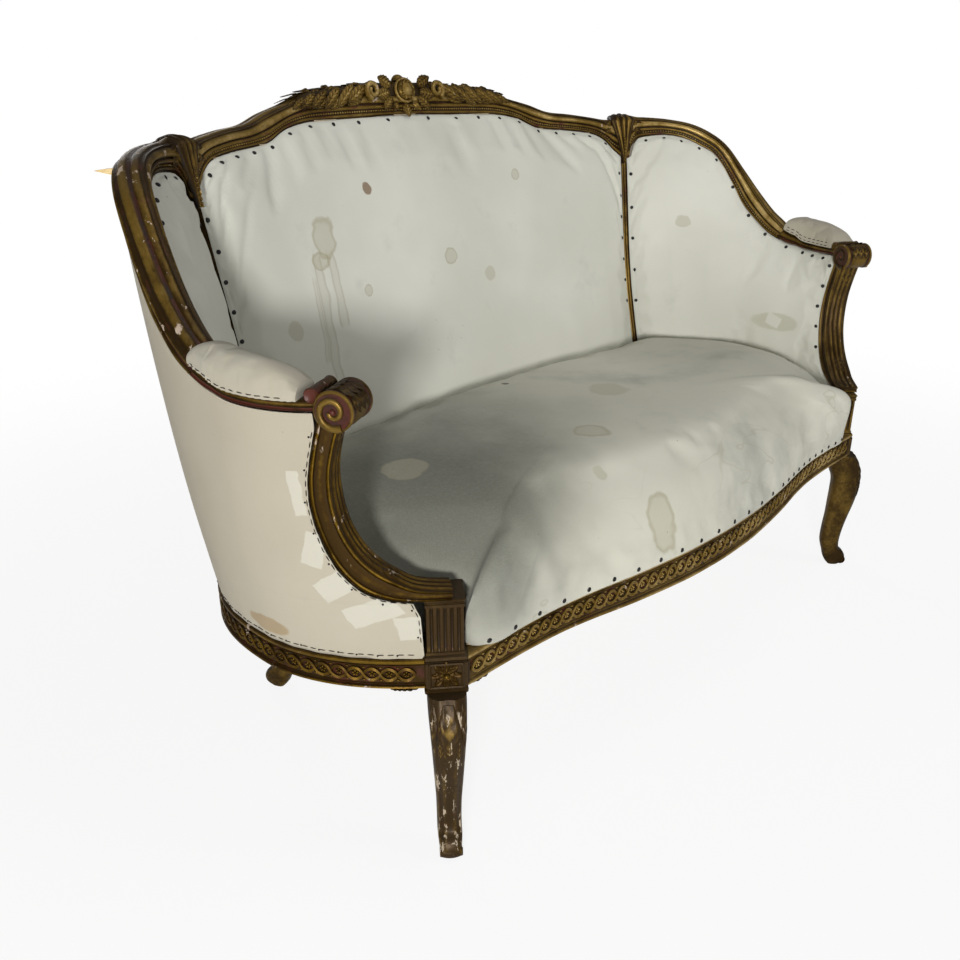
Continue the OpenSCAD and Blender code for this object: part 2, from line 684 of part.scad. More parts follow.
// Upright webs across the open back, tacked to the front of the shoulders
web_count = 7;
module back_webbing() {
    color(web_colour) for (k = [1:web_count]) {
        th = mix(stile_th, 180 - stile_th, k / (web_count + 1));
        half = turn_of(web_w / 2, th, seat_line_z);
        high = min(between(crest_line, th - half), between(crest_line, th + half)) - layer_gap * 2;
        rear = -(shoulder_in + layer_gap / 2);
        face = rear - web_t;
        skin([
            for (v = [th - half, th, th + half]) [
                body_point(v, panel_low, rear), body_point(v, high, rear),
                body_point(v, high, face), body_point(v, panel_low, face)
            ]
        ]);
    }
}

// Outside covers lie in the outer rebate
outside_near = outer_rebate_d - layer_gap;
function outside_at(spot, depth) = body_point(spot[0], spot[1], -depth);
// Its front edge keeps clear of the scroll and then follows the support down to the post
function outside_end_at(z) =
    let (edge = between(side_end, z + panel_gap))
    (z > over_cap_z(0.5) ? max(edge, scroll_side_th) : edge) + end_turn(z);
function outside_side(s, t) =
    let (th0 = mix(stile_th, outside_end_at(arm_z), s))
    let (z = mix(rail_top + layer_gap, between(wing_line, th0) - panel_gap, t))
    [mix(stile_th - seam_turn, outside_end_at(z), s), z];
function outside_back(s, t) =
    let (th = mix(stile_th + seam_turn, 180 - stile_th - seam_turn, s))
    [th, mix(rail_top + layer_gap, between(crest_line, th) - panel_gap, t)];
seam_turn = turn_of(layer_gap, stile_th, arm_z);
outside_cols = 24;
// Grid lines up an outside cover crowd where the support meets the post
post_share = post_h / arm_rise;
outside_rise_shares = concat(
    [for (k = [0, 0.8, 0.94, 1, 1.06, 1.14, 1.28, 1.5]) k * post_share],
    [0.47, 0.6, 0.8, 1]
);
outside_rows = len(outside_rise_shares) - 1;
function outside_layer(side, depth) = [
    for (i = [0:outside_cols], j = [0:outside_rows])
        let (s = i / outside_cols, t = outside_rise_shares[j])
        outside_at(side ? outside_side(s, t) : outside_back(s, t), depth)
];
module outside_cover(side) {
    near = outside_layer(side, outside_near);
    far = outside_layer(side, outside_near - muslin_t);
    color(muslin_colour) pad_grid(outside_cols, outside_rows, near, far);
}
module outside_side_cover() {
    outside_cover(true);
}
module outside_back_cover() {
    outside_cover(false);
}

// Arm pad: share of its length, share of its thickness
pad_shares = [
    [0, 0.35], [0.06, 0.6], [0.2, 0.86], [0.42, 1], [0.65, 0.9], [0.85, 0.64], [0.96, 0.4], [1, 0.2]
];
// Where the pad starts and ends, as shares of the arm rail's length
pad_span_shares = [0.02, 0.9];
// Fullness of the pad's section, where 1 is a half ellipse
pad_fullness = 0.8;
module arm_pad() {
    steps = 14;
    arcs = 8;
    color(muslin_colour) skin([
        for (k = [0:steps])
            let (edge = spline_at(arm_edges, mix(pad_span_shares[0], pad_span_shares[1], k / steps)))
            let (h = pad_t * between(pad_shares, k / steps))
            rail_ring(edge, [
                for (i = [0:arcs])
                    let (a = 180 * i / arcs, side = spow(cos(a), pad_fullness))
                    [1, layer_gap + h * spow(sin(a), pad_fullness), show_t / 2 + pad_w / 2 * side]
            ])
    ]);
}

// Seat: an outline round the inside of the frame, and domes over it

seat_centre = [0, (front_y(0) + back_centre.y) / 2, 0];
function post_spot(out, along) =
    [
        post_centre.x + out * cos(post_face_th) - along * sin(post_face_th),
        post_centre.y + out * sin(post_face_th) + along * cos(post_face_th)
    ];
seat_inset = rail_chamfer + muslin_t;
seat_side_in = max(face_in + show_swell, support_t) + layer_gap + muslin_t;
post_clear = block_w / 2 + panel_gap;
// Height of the seat's edge as a share of the seat line's rise, by angle
seat_edge_shares = [[-30, 0.58], [-22, 0.62], [-10, 0.82], [5, 0.97], [23, 1.05], [90, 1.05]];
// The seat keeps clear of the panels over it, or by a stile of the stile's foot
function plan_reach(spot) = norm([spot.x, spot.y] - [seat_centre.x, seat_centre.y]);
function seat_side_point(th) =
    let (puffed = th > stile_th ? back_puff : wing_puff, by_stile = abs(th - stile_th) < stile_keep)
    let (at_line = body_point(th, seat_line_z, -max(seat_side_in, cover_front(th, puffed))))
    let (at_foot = body_point(th, rail_top, -(by_stile ? seat_side_in : rail_t / 2)))
    let (spot = plan_reach(at_foot) < plan_reach(at_line) ? at_foot : at_line)
    [spot.x, spot.y, rail_top + seat_line_rise * between(seat_edge_shares, th)];
// Angle on each side of a stile within which the seat keeps clear of its foot
stile_keep = stile_half_turn(rail_top) + 3;
function cover_front(th, puffed) =
    shoulder_in + layer_gap * 3 + cover_depth + muslin_t + hollow_at(th) + puffed * 0.7;
front_steps = 9;
side_angles = [-25, -19, -12, -4, 6, 16, 26, 35, 42, 47.5, 53, 60, 70, 80];
seat_quarter = concat(
    [
        for (k = [0:front_steps])
            let (x = k / front_steps * (post_centre.x - block_w * 0.95))
            [x, front_y(x) + seat_inset, rail_top + layer_gap]
    ],
    [
        [each post_spot(block_w * 0.1, -post_clear), rail_top + post_h * 0.07],
        [each post_spot(-block_w * 0.35, -post_clear), rail_top + post_h * 0.29],
        [each post_spot(-post_clear, -block_w * 0.3), rail_top + post_h * 0.57],
        [each post_spot(-post_clear, block_w * 0.35), rail_top + post_h * 0.71]
    ],
    [for (th = side_angles) seat_side_point(th)],
    [seat_side_point(90)]
);
seat_outline = concat(
    seat_quarter,
    [for (i = [len(seat_quarter) - 2:-1:1]) [-seat_quarter[i].x, seat_quarter[i].y, seat_quarter[i].z]]
);
seat_ring_shares = [0.22, 0.45, 0.65, 0.8, 0.89, 0.945, 0.98, 1];
crown_z = rail_top + crown_rise;
function dome_share(s) = pow(1 - pow(s, 7), 0.5);
// Point of a dome: its outline drawn in by inset, lowered by drop
function dome_point(edge, s, crown, foot, inset, drop) =
    let (flat = [edge.x, edge.y, 0] - seat_centre, reach = norm(flat) - inset)
    let (spot = seat_centre + unit(flat) * reach * s)
    [spot.x, spot.y, foot + (crown - drop - foot) * dome_share(s)];
// Closed solid between an upper and a lower dome with the same outline
module dome_solid(upper, lower, crown_high, crown_low) {
    n = len(seat_outline);
    rings = len(upper) / n;
    layer = n * rings;
    points = concat(upper, lower, [[0, seat_centre.y, crown_high], [0, seat_centre.y, crown_low]]);
    tops = [
        for (k = [0:rings - 2], i = [0:n - 1])
            let (j = (i + 1) % n, a = k * n + i, b = k * n + j, c = a + n, d = b + n)
            each [[a, c, b], [b, c, d], [layer + a, layer + b, layer + c], [layer + b, layer + d, layer + c]]
    ];
    fans = [
        for (i = [0:n - 1])
            let (j = (i + 1) % n)
            each [[2 * layer, i, j], [2 * layer + 1, layer + j, layer + i]]
    ];
    edge = (rings - 1) * n;
    rim = [
        for (i = [0:n - 1])
            let (j = (i + 1) % n)
            each [[edge + i, layer + edge + i, edge + j], [edge + j, layer + edge + i, layer + edge + j]]
    ];
    solid(points, concat(tops, fans, rim));
}
web_z = leg_h - layer_gap / 2 - web_t;
// How far the layers under the cover stop short of its outline
inner_inset = muslin_t * 3;
// Play between the springs and the hessian over them
hessian_gap = muslin_t * 4;
hessian_crown = leg_h + spring_h + hessian_gap;
module seat_cover() {
    under = [for (s = seat_ring_shares, p = seat_outline) dome_point(p, s, crown_z, p.z, muslin_t, muslin_t)];
    over = [for (s = seat_ring_shares, p = seat_outline) dome_point(p, s, crown_z, p.z, 0, 0)];
    color(muslin_colour) dome_solid(over, under, crown_z, crown_z - muslin_t);
}
inner_ring_shares = [0.45, 0.8, 0.945, 1];
// Dome under the cover, whose edge stands at the outline's height but no lower than a floor
function inner_dome(crown, floor_z, drop) = [
    for (s = inner_ring_shares, p = seat_outline)
        dome_point(p, s, crown, max(p.z, floor_z), inner_inset, drop)
];
// Dome under the cover with a level edge
function level_dome(crown, foot) =
    [for (s = inner_ring_shares, p = seat_outline) dome_point(p, s, crown, foot, inner_inset, 0)];
module seat_stuffing() {
    drop = muslin_t + layer_gap;
    foot = rail_top + 2 * layer_gap + muslin_t;
    bottom = hessian_crown + muslin_t + layer_gap;
    over = inner_dome(crown_z, foot + muslin_t, drop);
    color(hair_colour) dome_solid(over, level_dome(bottom, foot), crown_z - drop, bottom);
}
module spring_hessian() {
    low = rail_top + layer_gap;
    high = hessian_crown + muslin_t;
    over = level_dome(high, low + muslin_t);
    color(web_colour) dome_solid(over, level_dome(hessian_crown, low), high, hessian_crown);
}

// Springs stand on the webbing, waisted in the middle
spring_spots = [
    for (i = [-2:2], j = [0, 1]) [i * spring_pitch, seat_centre.y - spring_row * 0.5 + j * spring_row]
];
spring_curls = 4;
spring_steps = 6;
spring_waist_share = 0.62;
function spring_centre(a) =
    let (u = a / (360 * spring_curls), r = spring_r * mix(spring_waist_share, 1, pow(2 * u - 1, 2)) - wire_d)
    [r * cos(a), r * sin(a), leg_h + wire_d * 0.36 + (spring_h - wire_d) * u];
module spring() {
    turns = spring_curls * spring_steps;
    skin([
        for (k = [0:turns])
            let (a = 360 * k / spring_steps, c = spring_centre(a))
            [for (v = [45:90:315]) c + wire_d / 2 * [cos(v) * cos(a), cos(v) * sin(a), sin(v)]]
    ]);
}
module seat_springs() {
    // Each starts its lowest turn over the middle of an upper web
    color(steel_colour) for (p = spring_spots) translate([p.x, p.y, 0]) rotate(90) spring();
}
// Plan of the inside of the back and side rails
function inner_back_y(x) =
    let (across = min(abs(x) / half_w_at(leg_h), 1))
    back_d_at(leg_h) * pow(1 - pow(across, corner_fullness), 1 / corner_fullness) - rail_t;
module seat_webbing() {
    color(web_colour) {
        for (i = [-4:4]) {
            x = i * spring_pitch / 2;
            y = max(front_y(abs(x) - web_w / 2), front_y(abs(x) + web_w / 2)) + rail_t * 0.6;
            far = inner_back_y(abs(x) + web_w / 2) + rail_t * 0.4;
            translate([x - web_w / 2, y, web_z]) cube([web_w, far - y, web_t]);
        }
        for (j = [-1:1]) {
            y = seat_centre.y + j * spring_row / 2;
            reach = half_w_at(leg_h) - rail_t * 1.4;
            translate([-reach, y - web_w / 2, web_z - web_t - layer_gap / 2]) cube([2 * reach, web_w, web_t]);
        }
    }
}
dust_z = web_z - web_t - layer_gap - muslin_t;
// How far the dust cover lies in under the rails, as shares of their thickness, by angle
dust_in_shares = [[-27, 1.2], [-20, 0.5], [36, 0.5], [39, 2.3], [55, 2.3], [58, 0.5], [90, 0.5]];
module dust_cover() {
    quarter = concat(
        [for (k = [0:6]) let (x = k / 6 * (post_centre.x - block_w)) [x, front_y(x) + rail_t * 0.6]],
        [post_spot(-post_clear, -block_w * 0.75), post_spot(-post_clear, block_w * 0.5)],
        [
            for (th = [-26:4:90])
                let (p = body_point(th, leg_h, -rail_t * between(dust_in_shares, th))) [p.x, p.y]
        ]
    );
    edge = concat(quarter, [for (i = [len(quarter) - 2:-1:1]) [-quarter[i].x, quarter[i].y]]);
    color(web_colour) translate([0, 0, dust_z]) linear_extrude(muslin_t) polygon(edge);
}
// Cross rails keep the long rails apart, between the springs
cross_w = 26;
module seat_cross_rails() {
    color(inner_wood_colour) for (side = [-1, 1]) {
        x = side * spring_pitch / 2;
        y = max(front_y(abs(x) - cross_w / 2), front_y(abs(x) + cross_w / 2)) + rail_t + joint_gap;
        far = inner_back_y(abs(x) + cross_w / 2) - joint_gap;
        translate([x - cross_w / 2, y, leg_h + layer_gap]) cube([cross_w, far - y, rail_h * 0.7]);
    }
}

// Tacks: low cones on the edge of the fabric

module tack_at(spot, out) {
    // The head faces along out
    translate(spot + out * layer_gap) rotate([0, acos(out.z), atan2(out.y, out.x)])
        cylinder(r1 = tack_r, r2 = tack_r * 0.45, h = tack_h, $fn = 16);
}
// Cell of a list of grid lines that holds a share, and how far into the cell it lies
function cell(lines, share) =
    let (i = max([for (k = [0:len(lines) - 2]) if (lines[k] <= share) k]))
    [i, (share - lines[i]) / (lines[i + 1] - lines[i])];
// Spot on a panel's face and the way it faces, from the four corners of its cell
function spot_on(corners, f, g) =
    let (low = mix(corners[0], corners[1], f), high = mix(corners[2], corners[3], f))
    let (spot = mix(low, high, g), inwards = [-spot.x, seat_centre.y - spot.y, 0])
    let (out = unit(cross(high - low, corners[1] - corners[0])))
    [spot, out * inwards > 0 ? out : -out];
function back_spot_on(s, t) =
    let (c = cell(back_line_shares, s), r = cell(rise_line_shares, t), d = cover_depth + muslin_t)
    let (across = [for (i = [0, 1]) back_line_shares[c[0] + i]])
    let (up = [for (j = [0, 1]) rise_line_shares[r[0] + j]])
    spot_on([for (v = up, u = across) back_at(u, v, d)], c[1], r[1]);
function wing_spot_on(s, t) =
    let (c = cell(wing_line_shares, s), r = cell(rise_line_shares, t), d = cover_depth + muslin_t)
    let (across = [for (i = [0, 1]) wing_line_shares[c[0] + i]])
    let (up = [for (j = [0, 1]) rise_line_shares[r[0] + j]])
    spot_on([for (v = up, u = across) wing_at(u, v, d)], c[1], r[1]);
module tacks_on(spots) {
    color(tack_colour) for (p = spots) tack_at(p[0], p[1]);
}
// Shares of a panel's width and height at which its tacks stand, a little in from its edges
tack_side_shares = [0.014, 0.986];
tack_top_share = 0.984;
// Shares of a panel's height between which tacks stand along its sides
tack_rise_shares = [0.25, 0.92];
function tack_rise(k, rows) = mix(tack_rise_shares[0], tack_rise_shares[1], k / (rows - 1));
back_width = 2 * half_w_at(arm_z) * cos(stile_th);
module back_tacks() {
    count = floor(back_width / panel_tack_pitch);
    rows = floor((crest_rise - arm_rise) / panel_tack_pitch);
    tacks_on(concat(
        [for (k = [1:count - 1]) back_spot_on(k / count, tack_top_share)],
        [for (k = [0:rows - 1], s = tack_side_shares) back_spot_on(s, tack_rise(k, rows))]
    ));
}
widest = body_point(0, arm_z);
wing_width = norm(body_point(stile_th, arm_z) - widest) + norm(body_point(scroll_th, arm_z) - widest);
module wing_tacks() {
    count = floor(wing_width / panel_tack_pitch);
    rows = floor((arm_rise - seat_line_rise) / panel_tack_pitch) + 1;
    tacks_on(concat(
        [for (k = [1:count - 1]) wing_spot_on(k / count, tack_top_share)],
        [for (k = [0:rows - 1], s = tack_side_shares) wing_spot_on(s, tack_rise(k, rows))]
    ));
}
// Tacks along the seat rail and the front edge of an outside cover, facing outwards
outside_tack_share = 0.03;
function outside_tack(spot) = [outside_at(spot, outside_near - muslin_t), body_normal(spot[0], spot[1])];
module outside_tacks() {
    count = floor((wing_width + block_w) / panel_tack_pitch);
    rows = floor(arm_rise / panel_tack_pitch);
    tacks_on(concat(
        [for (k = [1:count - 1]) outside_tack(outside_side(k / count, outside_tack_share))],
        [for (k = [1:rows - 1]) outside_tack(outside_side(1 - outside_tack_share, k / rows))]
    ));
}
module outside_back_tacks() {
    count = floor(back_width / panel_tack_pitch);
    tacks_on([
        for (k = [1:count - 1], t = [tack_side_shares[0], tack_side_shares[1]])
            outside_tack(outside_back(k / count, t))
    ]);
}
module seat_tacks() {
    count = floor((post_centre.x - block_w) / seat_tack_pitch);
    color(tack_colour) for (k = [-count:count]) {
        x = k * seat_tack_pitch;
        slope = front_y(x + tack_r) - front_y(x - tack_r);
        out = unit([slope, -2 * tack_r, 0]);
        tack_at([x, front_y(x) + seat_inset, rail_top + tack_r + layer_gap * 2], out);
    }
}

// The origin is on the floor under the middle of the whole
back_most = max([for (p = rail_ring(spline_at(crest_edges, 0.5), show_section)) p.y]);
origin_y = (front_y(0) + back_most) / 2;
module place() {
    translate([0, -origin_y, 0]) children();
}
module place_left() {
    place() mirror([1, 0, 0]) children();
}
place() front_leg();  // front_right_leg
place_left() front_leg();  // front_left_leg
place() back_leg();  // back_right_leg
place_left() back_leg();  // back_left_leg
place() front_seat_rail();
place() back_seat_rail();
place() side_seat_rail();  // right_seat_rail
place_left() side_seat_rail();  // left_seat_rail
place() seat_cross_rails();
place() arm_support();  // right_arm_support
place_left() arm_support();  // left_arm_support
place() arm_rail();  // right_arm_rail
place_left() arm_rail();  // left_arm_rail
place() wing_rail();  // right_wing_rail
place_left() wing_rail();  // left_wing_rail
place() crest_rail();
place() crest_carving();
place() crest_clasp();  // right_crest_clasp
place_left() crest_clasp();  // left_crest_clasp
place_left() crest_wedge();  // left_crest_wedge
place() back_stile();  // right_back_stile
place_left() back_stile();  // left_back_stile
place() lower_back_rail();
place() lower_wing_rail();  // right_lower_wing_rail
place_left() lower_wing_rail();  // left_lower_wing_rail
place() rosette();  // right_rosette
place_left() rosette();  // left_rosette
place() seat_webbing();
place() seat_springs();
place() spring_hessian();
place() seat_stuffing();
place() seat_cover();
place() back_webbing();
place() back_stuffing();
place() back_cover();
place() wing_stuffing();  // right_wing_stuffing
place_left() wing_stuffing();  // left_wing_stuffing
place() wing_cover();  // right_wing_cover
place_left() wing_cover();  // left_wing_cover
place() arm_pad();  // right_arm_pad
place_left() arm_pad();  // left_arm_pad
place() outside_back_cover();
place() outside_side_cover();  // right_outside_cover
place_left() outside_side_cover();  // left_outside_cover
place() dust_cover();
place() seat_tacks();
place() back_tacks();
place() wing_tacks();  // right_wing_tacks
place_left() wing_tacks();  // left_wing_tacks
place() outside_tacks();  // right_outside_tacks
place_left() outside_tacks();  // left_outside_tacks
place() outside_back_tacks();
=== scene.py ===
import math

import bmesh
import bpy
import numpy as np
from mathutils import Matrix, Vector
from mathutils.bvhtree import BVHTree


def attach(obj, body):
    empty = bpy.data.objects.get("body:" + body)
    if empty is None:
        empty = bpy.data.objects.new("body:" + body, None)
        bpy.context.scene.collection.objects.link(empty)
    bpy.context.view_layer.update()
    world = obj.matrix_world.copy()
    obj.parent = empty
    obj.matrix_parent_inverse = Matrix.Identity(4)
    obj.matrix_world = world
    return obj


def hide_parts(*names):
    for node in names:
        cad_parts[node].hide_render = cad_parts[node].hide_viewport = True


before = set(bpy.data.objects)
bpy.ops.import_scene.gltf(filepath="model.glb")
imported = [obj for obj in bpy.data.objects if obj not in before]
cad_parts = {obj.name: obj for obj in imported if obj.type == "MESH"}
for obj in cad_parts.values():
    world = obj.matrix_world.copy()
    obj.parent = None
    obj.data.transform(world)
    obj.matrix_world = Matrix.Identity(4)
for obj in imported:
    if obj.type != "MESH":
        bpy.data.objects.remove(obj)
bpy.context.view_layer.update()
scene = bpy.context.scene
print("frame loaded")

upward = np.array([0, 0, 1.0])


def unit(v):
    return v / np.linalg.norm(v, axis=-1, keepdims=True)


def spow(value, power):
    # A power that keeps the value's sign
    return np.sign(value) * np.abs(value) ** power


def cosSin(degrees):
    return math.cos(math.radians(degrees)), math.sin(math.radians(degrees))


def turned(first, second, angle):
    # Two directions at right angles, turned in their plane by an angle in radians
    c, s = math.cos(angle), math.sin(angle)
    return first * c + second * s, second * c - first * s


def lengthAlong(line):
    # Distance from a line's start to each of its points
    return np.concatenate([[0], np.cumsum(np.linalg.norm(np.diff(line, axis=0), axis=1))])


def ramp(rows, key):
    # Value at a key between the rows of a table of pairs
    rows = sorted(rows)
    return np.interp(key, [r[0] for r in rows], [r[1] for r in rows])


# Camera, from the photograph
cameraSettings = {
    "place": (-1.310, -1.0953, 0.996), "yaw": 0.8011, "pitch": 0.4087, "roll": -0.0052,
    "lens": 35.63, "shiftX": 0.0038, "shiftY": 0.0108,
}


def makeCamera(s):
    forward = Vector((math.sin(s["yaw"]) * math.cos(s["pitch"]), math.cos(s["yaw"]) * math.cos(s["pitch"]),
                      -math.sin(s["pitch"])))
    level = Vector((math.cos(s["yaw"]), -math.sin(s["yaw"]), 0))
    upward = level.cross(forward)
    right = math.cos(s["roll"]) * level + math.sin(s["roll"]) * upward
    up = -math.sin(s["roll"]) * level + math.cos(s["roll"]) * upward
    data = bpy.data.cameras.new("camera")
    data.sensor_width, data.lens = 36, s["lens"]
    data.shift_x, data.shift_y = s["shiftX"], s["shiftY"]
    data.clip_start, data.clip_end = 0.05, 60
    camera = bpy.data.objects.new("camera", data)
    scene.collection.objects.link(camera)
    camera.matrix_world = Matrix.Translation(s["place"]) @ Matrix((right, up, -forward)).transposed().to_4x4()
    scene.camera = camera


makeCamera(cameraSettings)
scene.view_settings.view_transform = "Standard"
print("camera set")


# Shader sockets as Python values
class Wire:
    def __init__(self, finish, socket):
        self.finish, self.socket = finish, socket

    def math(self, operation, first, second=0.0):
        return self.finish.node("ShaderNodeMath", {"operation": operation}, {0: first, 1: second})

    def __add__(self, other):
        return self.math("ADD", self, other)

    def __radd__(self, other):
        return self.math("ADD", other, self)

    def __sub__(self, other):
        return self.math("SUBTRACT", self, other)

    def __rsub__(self, other):
        return self.math("SUBTRACT", other, self)

    def __mul__(self, other):
        return self.math("MULTIPLY", self, other)

    def __rmul__(self, other):
        return self.math("MULTIPLY", other, self)

    def most(self, other):
        return self.math("MAXIMUM", self, other)


class Finish:
    def __init__(self, owner, output="ShaderNodeOutputMaterial"):
        # The owner is a material or a world
        self.owner = owner
        owner.use_nodes = True
        self.tree = owner.node_tree
        self.tree.nodes.clear()
        self.output = self.tree.nodes.new(output)
        self.at = self.node("ShaderNodeTexCoord", {}, {}, "Object")

    def node(self, kind, settings, sockets, out=0):
        made = self.tree.nodes.new(kind)
        for key, value in settings.items():
            setattr(made, key, value)
        for key, value in sockets.items():
            if isinstance(value, Wire):
                self.tree.links.new(value.socket, made.inputs[key])
            else:
                made.inputs[key].default_value = value
        return Wire(self, made.outputs[out])

    def scaled(self, weights):
        # The place on the piece, drawn out or in along each axis
        if weights == (1, 1, 1):
            return self.at
        return self.node("ShaderNodeVectorMath", {"operation": "MULTIPLY"}, {0: self.at, 1: weights})

    def part(self, axis, vector=None):
        return self.node("ShaderNodeSeparateXYZ", {}, {0: vector or self.at}, axis)

    def noise(self, scale, detail=3, rough=0.5, stretch=(1, 1, 1), twist=0.0):
        at = self.scaled(stretch)
        return self.node("ShaderNodeTexNoise", {}, {"Vector": at, "Scale": scale, "Detail": detail,
                                                    "Roughness": rough, "Distortion": twist})

    def cells(self, scale):
        return self.node("ShaderNodeTexVoronoi", {}, {"Vector": self.at, "Scale": scale}, "Distance")

    def ease(self, value, low, high):
        return self.node("ShaderNodeMapRange", {"interpolation_type": "SMOOTHSTEP"},
                         {0: value, 1: low, 2: high, 3: 0.0, 4: 1.0})

    def mark(self, name):
        return self.node("ShaderNodeAttribute", {"attribute_name": name}, {}, "Fac")

    def blend(self, mask, first, second):
        paint = [c if isinstance(c, Wire) else (*c, 1) for c in (first, second)]
        return self.node("ShaderNodeMix", {"data_type": "RGBA"}, {0: mask, 6: paint[0], 7: paint[1]}, 2)

    def near(self, spot, ragged=0.0, scale=30, weights=(1, 1, 1)):
        # Distance to a spot, with a ragged edge; a low weight counts less along its axis
        at = self.scaled(weights)
        spot = [s * w for s, w in zip(spot, weights)]
        gap = self.node("ShaderNodeVectorMath", {"operation": "DISTANCE"}, {0: at, 1: spot}, "Value")
        if ragged:
            gap = gap + (self.noise(scale, 3) - 0.5) * ragged
        return gap

    def size(self, value):
        return self.node("ShaderNodeMath", {"operation": "ABSOLUTE"}, {0: value})

    def bump(self, height, strength, distance):
        return self.node("ShaderNodeBump", {}, {"Height": height, "Strength": strength, "Distance": distance})

    def show(self, shader):
        self.tree.links.new(shader.socket, self.output.inputs["Surface"])
        return self.owner

    def shade(self, sockets):
        return self.show(self.node("ShaderNodeBsdfPrincipled", {}, sockets))


giltPaint = {
    "olive": (0.040, 0.0205, 0.0030), "gold": (0.195, 0.118, 0.021), "bright": (0.50, 0.35, 0.130),
    "bole": (0.075, 0.016, 0.008), "grime": (0.009, 0.0055, 0.003), "dust": (0.050, 0.036, 0.022),
    "gesso": (0.42, 0.33, 0.25), "roughness": 0.44,
}


def giltFinish(name, paint, brightness=0.0, chips=0.0, redness=0.0, dustiness=0.5, streak=0.42, shine=0.62,
               scale=48, top=2.0):
    f = Finish(bpy.data.materials.new(name))
    high, bole = f.mark("high"), f.mark("bole")
    cloud, patch, fine = f.noise(7, 4), f.noise(26, 5, 0.6), f.noise(170, 5, 0.65)
    below = 1 - f.ease(f.part(2), top - 0.01, top)  # only wood under this height flakes
    worn = high + (cloud - 0.5) * 1.1 + (patch - 0.5) * 1.3
    # Above the top height the gilding is darkened: painted shade
    worn = worn + (fine - 0.5) * 0.6 + brightness - 0.45 * (1 - below)
    colour = f.blend(f.ease(worn, 0.55, 1.30), paint["olive"], paint["gold"])
    colour = f.blend(f.ease(worn, 1.22, 1.85), colour, paint["bright"])
    red = bole + (f.noise(34, 5, 0.6, twist=0.4) - 0.5) * 1.6 + (fine - 0.5) * 0.5 + redness
    redMask = f.ease(red, 0.40, 0.74)
    colour = f.blend(redMask, colour, paint["bole"])
    dirt = f.ease((1 - high) + (patch - 0.5) * 0.7 + (fine - 0.5) * 0.5, 0.62, 1.12)
    colour = f.blend(dirt, colour, paint["grime"])
    facing = f.part(2, f.node("ShaderNodeNewGeometry", {}, {}, "Normal"))
    dusty = f.ease(facing + (patch - 0.5) * 0.9, 0.62, 1.0) * dustiness
    colour = f.blend(dusty, colour, paint["dust"])
    flakes = f.noise(scale, 6, 0.72, (1, 1, streak), 0.3)
    chipMask = f.ease(flakes + high * 0.10 + chips, 0.735, 0.765) * below
    colour = f.blend(chipMask, colour, paint["gesso"])
    metal = (1 - dirt) * (1 - redMask) * (1 - dusty) * (1 - chipMask) * shine
    grainBump = f.bump(fine * 0.6 + patch * 0.7 - chipMask * 0.5, 0.35, 0.0016)
    rough = paint["roughness"] + (fine - 0.5) * 0.25 + dusty * 0.3 + chipMask * 0.3 + dirt * 0.12
    return f.shade({"Base Color": colour, "Metallic": metal, "Roughness": rough, "Normal": grainBump,
                    "Specular IOR Level": 0.28})


muslinPaint = {
    "cloth": (0.600, 0.598, 0.520), "light": (0.690, 0.686, 0.610), "grey": (0.330, 0.335, 0.295),
    "warm": (0.56, 0.50, 0.385), "stain": (0.40, 0.37, 0.25), "ring": (0.32, 0.285, 0.17),
    "sootAndShadow": (0.115, 0.118, 0.092), "tan": (0.34, 0.25, 0.14), "patch": (0.60, 0.585, 0.50),
    "rust": (0.20, 0.115, 0.055), "fleck": (0.07, 0.055, 0.04),
}
# Stains: place, reach, how ragged, kind of mark
backStains = [
    ((-0.303, 0.25, 0.752), 0.031, 0.045, "ring"), ((-0.322, 0.25, 0.712), 0.021, 0.030, "ring"),
    ((-0.171, 0.288, 0.817), 0.011, 0.006, "rust"), ((0.22, 0.283, 0.814), 0.011, 0.012, "ring"),
    ((-0.007, 0.243, 0.684), 0.016, 0.018, "ring"), ((0.089, 0.228, 0.638), 0.014, 0.012, "stain"),
    ((-0.229, 0.226, 0.652), 0.010, 0.012, "ring"), ((-0.412, 0.196, 0.617), 0.016, 0.02, "stain"),
]
seatStains = [
    ((-0.162, -0.382, 0.373), 0.030, 0.034, "ring"), ((-0.141, -0.22, 0.464), 0.030, 0.03, "ring"),
    ((-0.448, -0.113, 0.462), 0.034, 0.04, "stain"), ((0.056, -0.113, 0.464), 0.040, 0.05, "stain"),
    ((-0.041, 0.058, 0.463), 0.008, 0.006, "fleck"), ((-0.225, -0.305, 0.453), 0.012, 0.012, "stain"),
]
wingStains = [
    ((0.669, -0.108, 0.494), 0.021, 0.012, "stain"), ((0.672, -0.077, 0.556), 0.006, 0.006, "fleck"),
    ((0.60, 0.10, 0.70), 0.012, 0.016, "stain"),
]
outsideStains = [((-0.728, -0.149, 0.336), 0.014, 0.008, "tan")]
# Pale square patches: side, place along the sofa and height, half length, half width, turn
outsidePatches = [
    (-1, -0.222, 0.545, 0.007, 0.030, -4), (-1, -0.232, 0.470, 0.012, 0.024, 14),
    (-1, -0.250, 0.420, 0.022, 0.015, -38), (-1, -0.284, 0.384, 0.027, 0.015, -26),
    (-1, -0.322, 0.360, 0.017, 0.017, -6),
]
wingPatches = [(1, -0.113, 0.497, 0.016, 0.012, 18)]
# Broad grey places of the seat: middle, reach, strength. The two by the left arm are partly grime and partly
# that arm's painted shadow
seatSootAndShadow = [((-0.47, -0.17, 0.44), 0.29, 0.88), ((-0.30, -0.03, 0.46), 0.30, 0.50),
            ((-0.10, 0.06, 0.46), 0.30, 0.14), ((0.42, 0.02, 0.46), 0.26, 0.20)]
# Runs of water down the back: place across, half width, low end, high end
backDrips = [(-0.327, 0.011, 0.50, 0.735), (-0.296, 0.010, 0.60, 0.735), (-0.345, 0.006, 0.55, 0.70)]


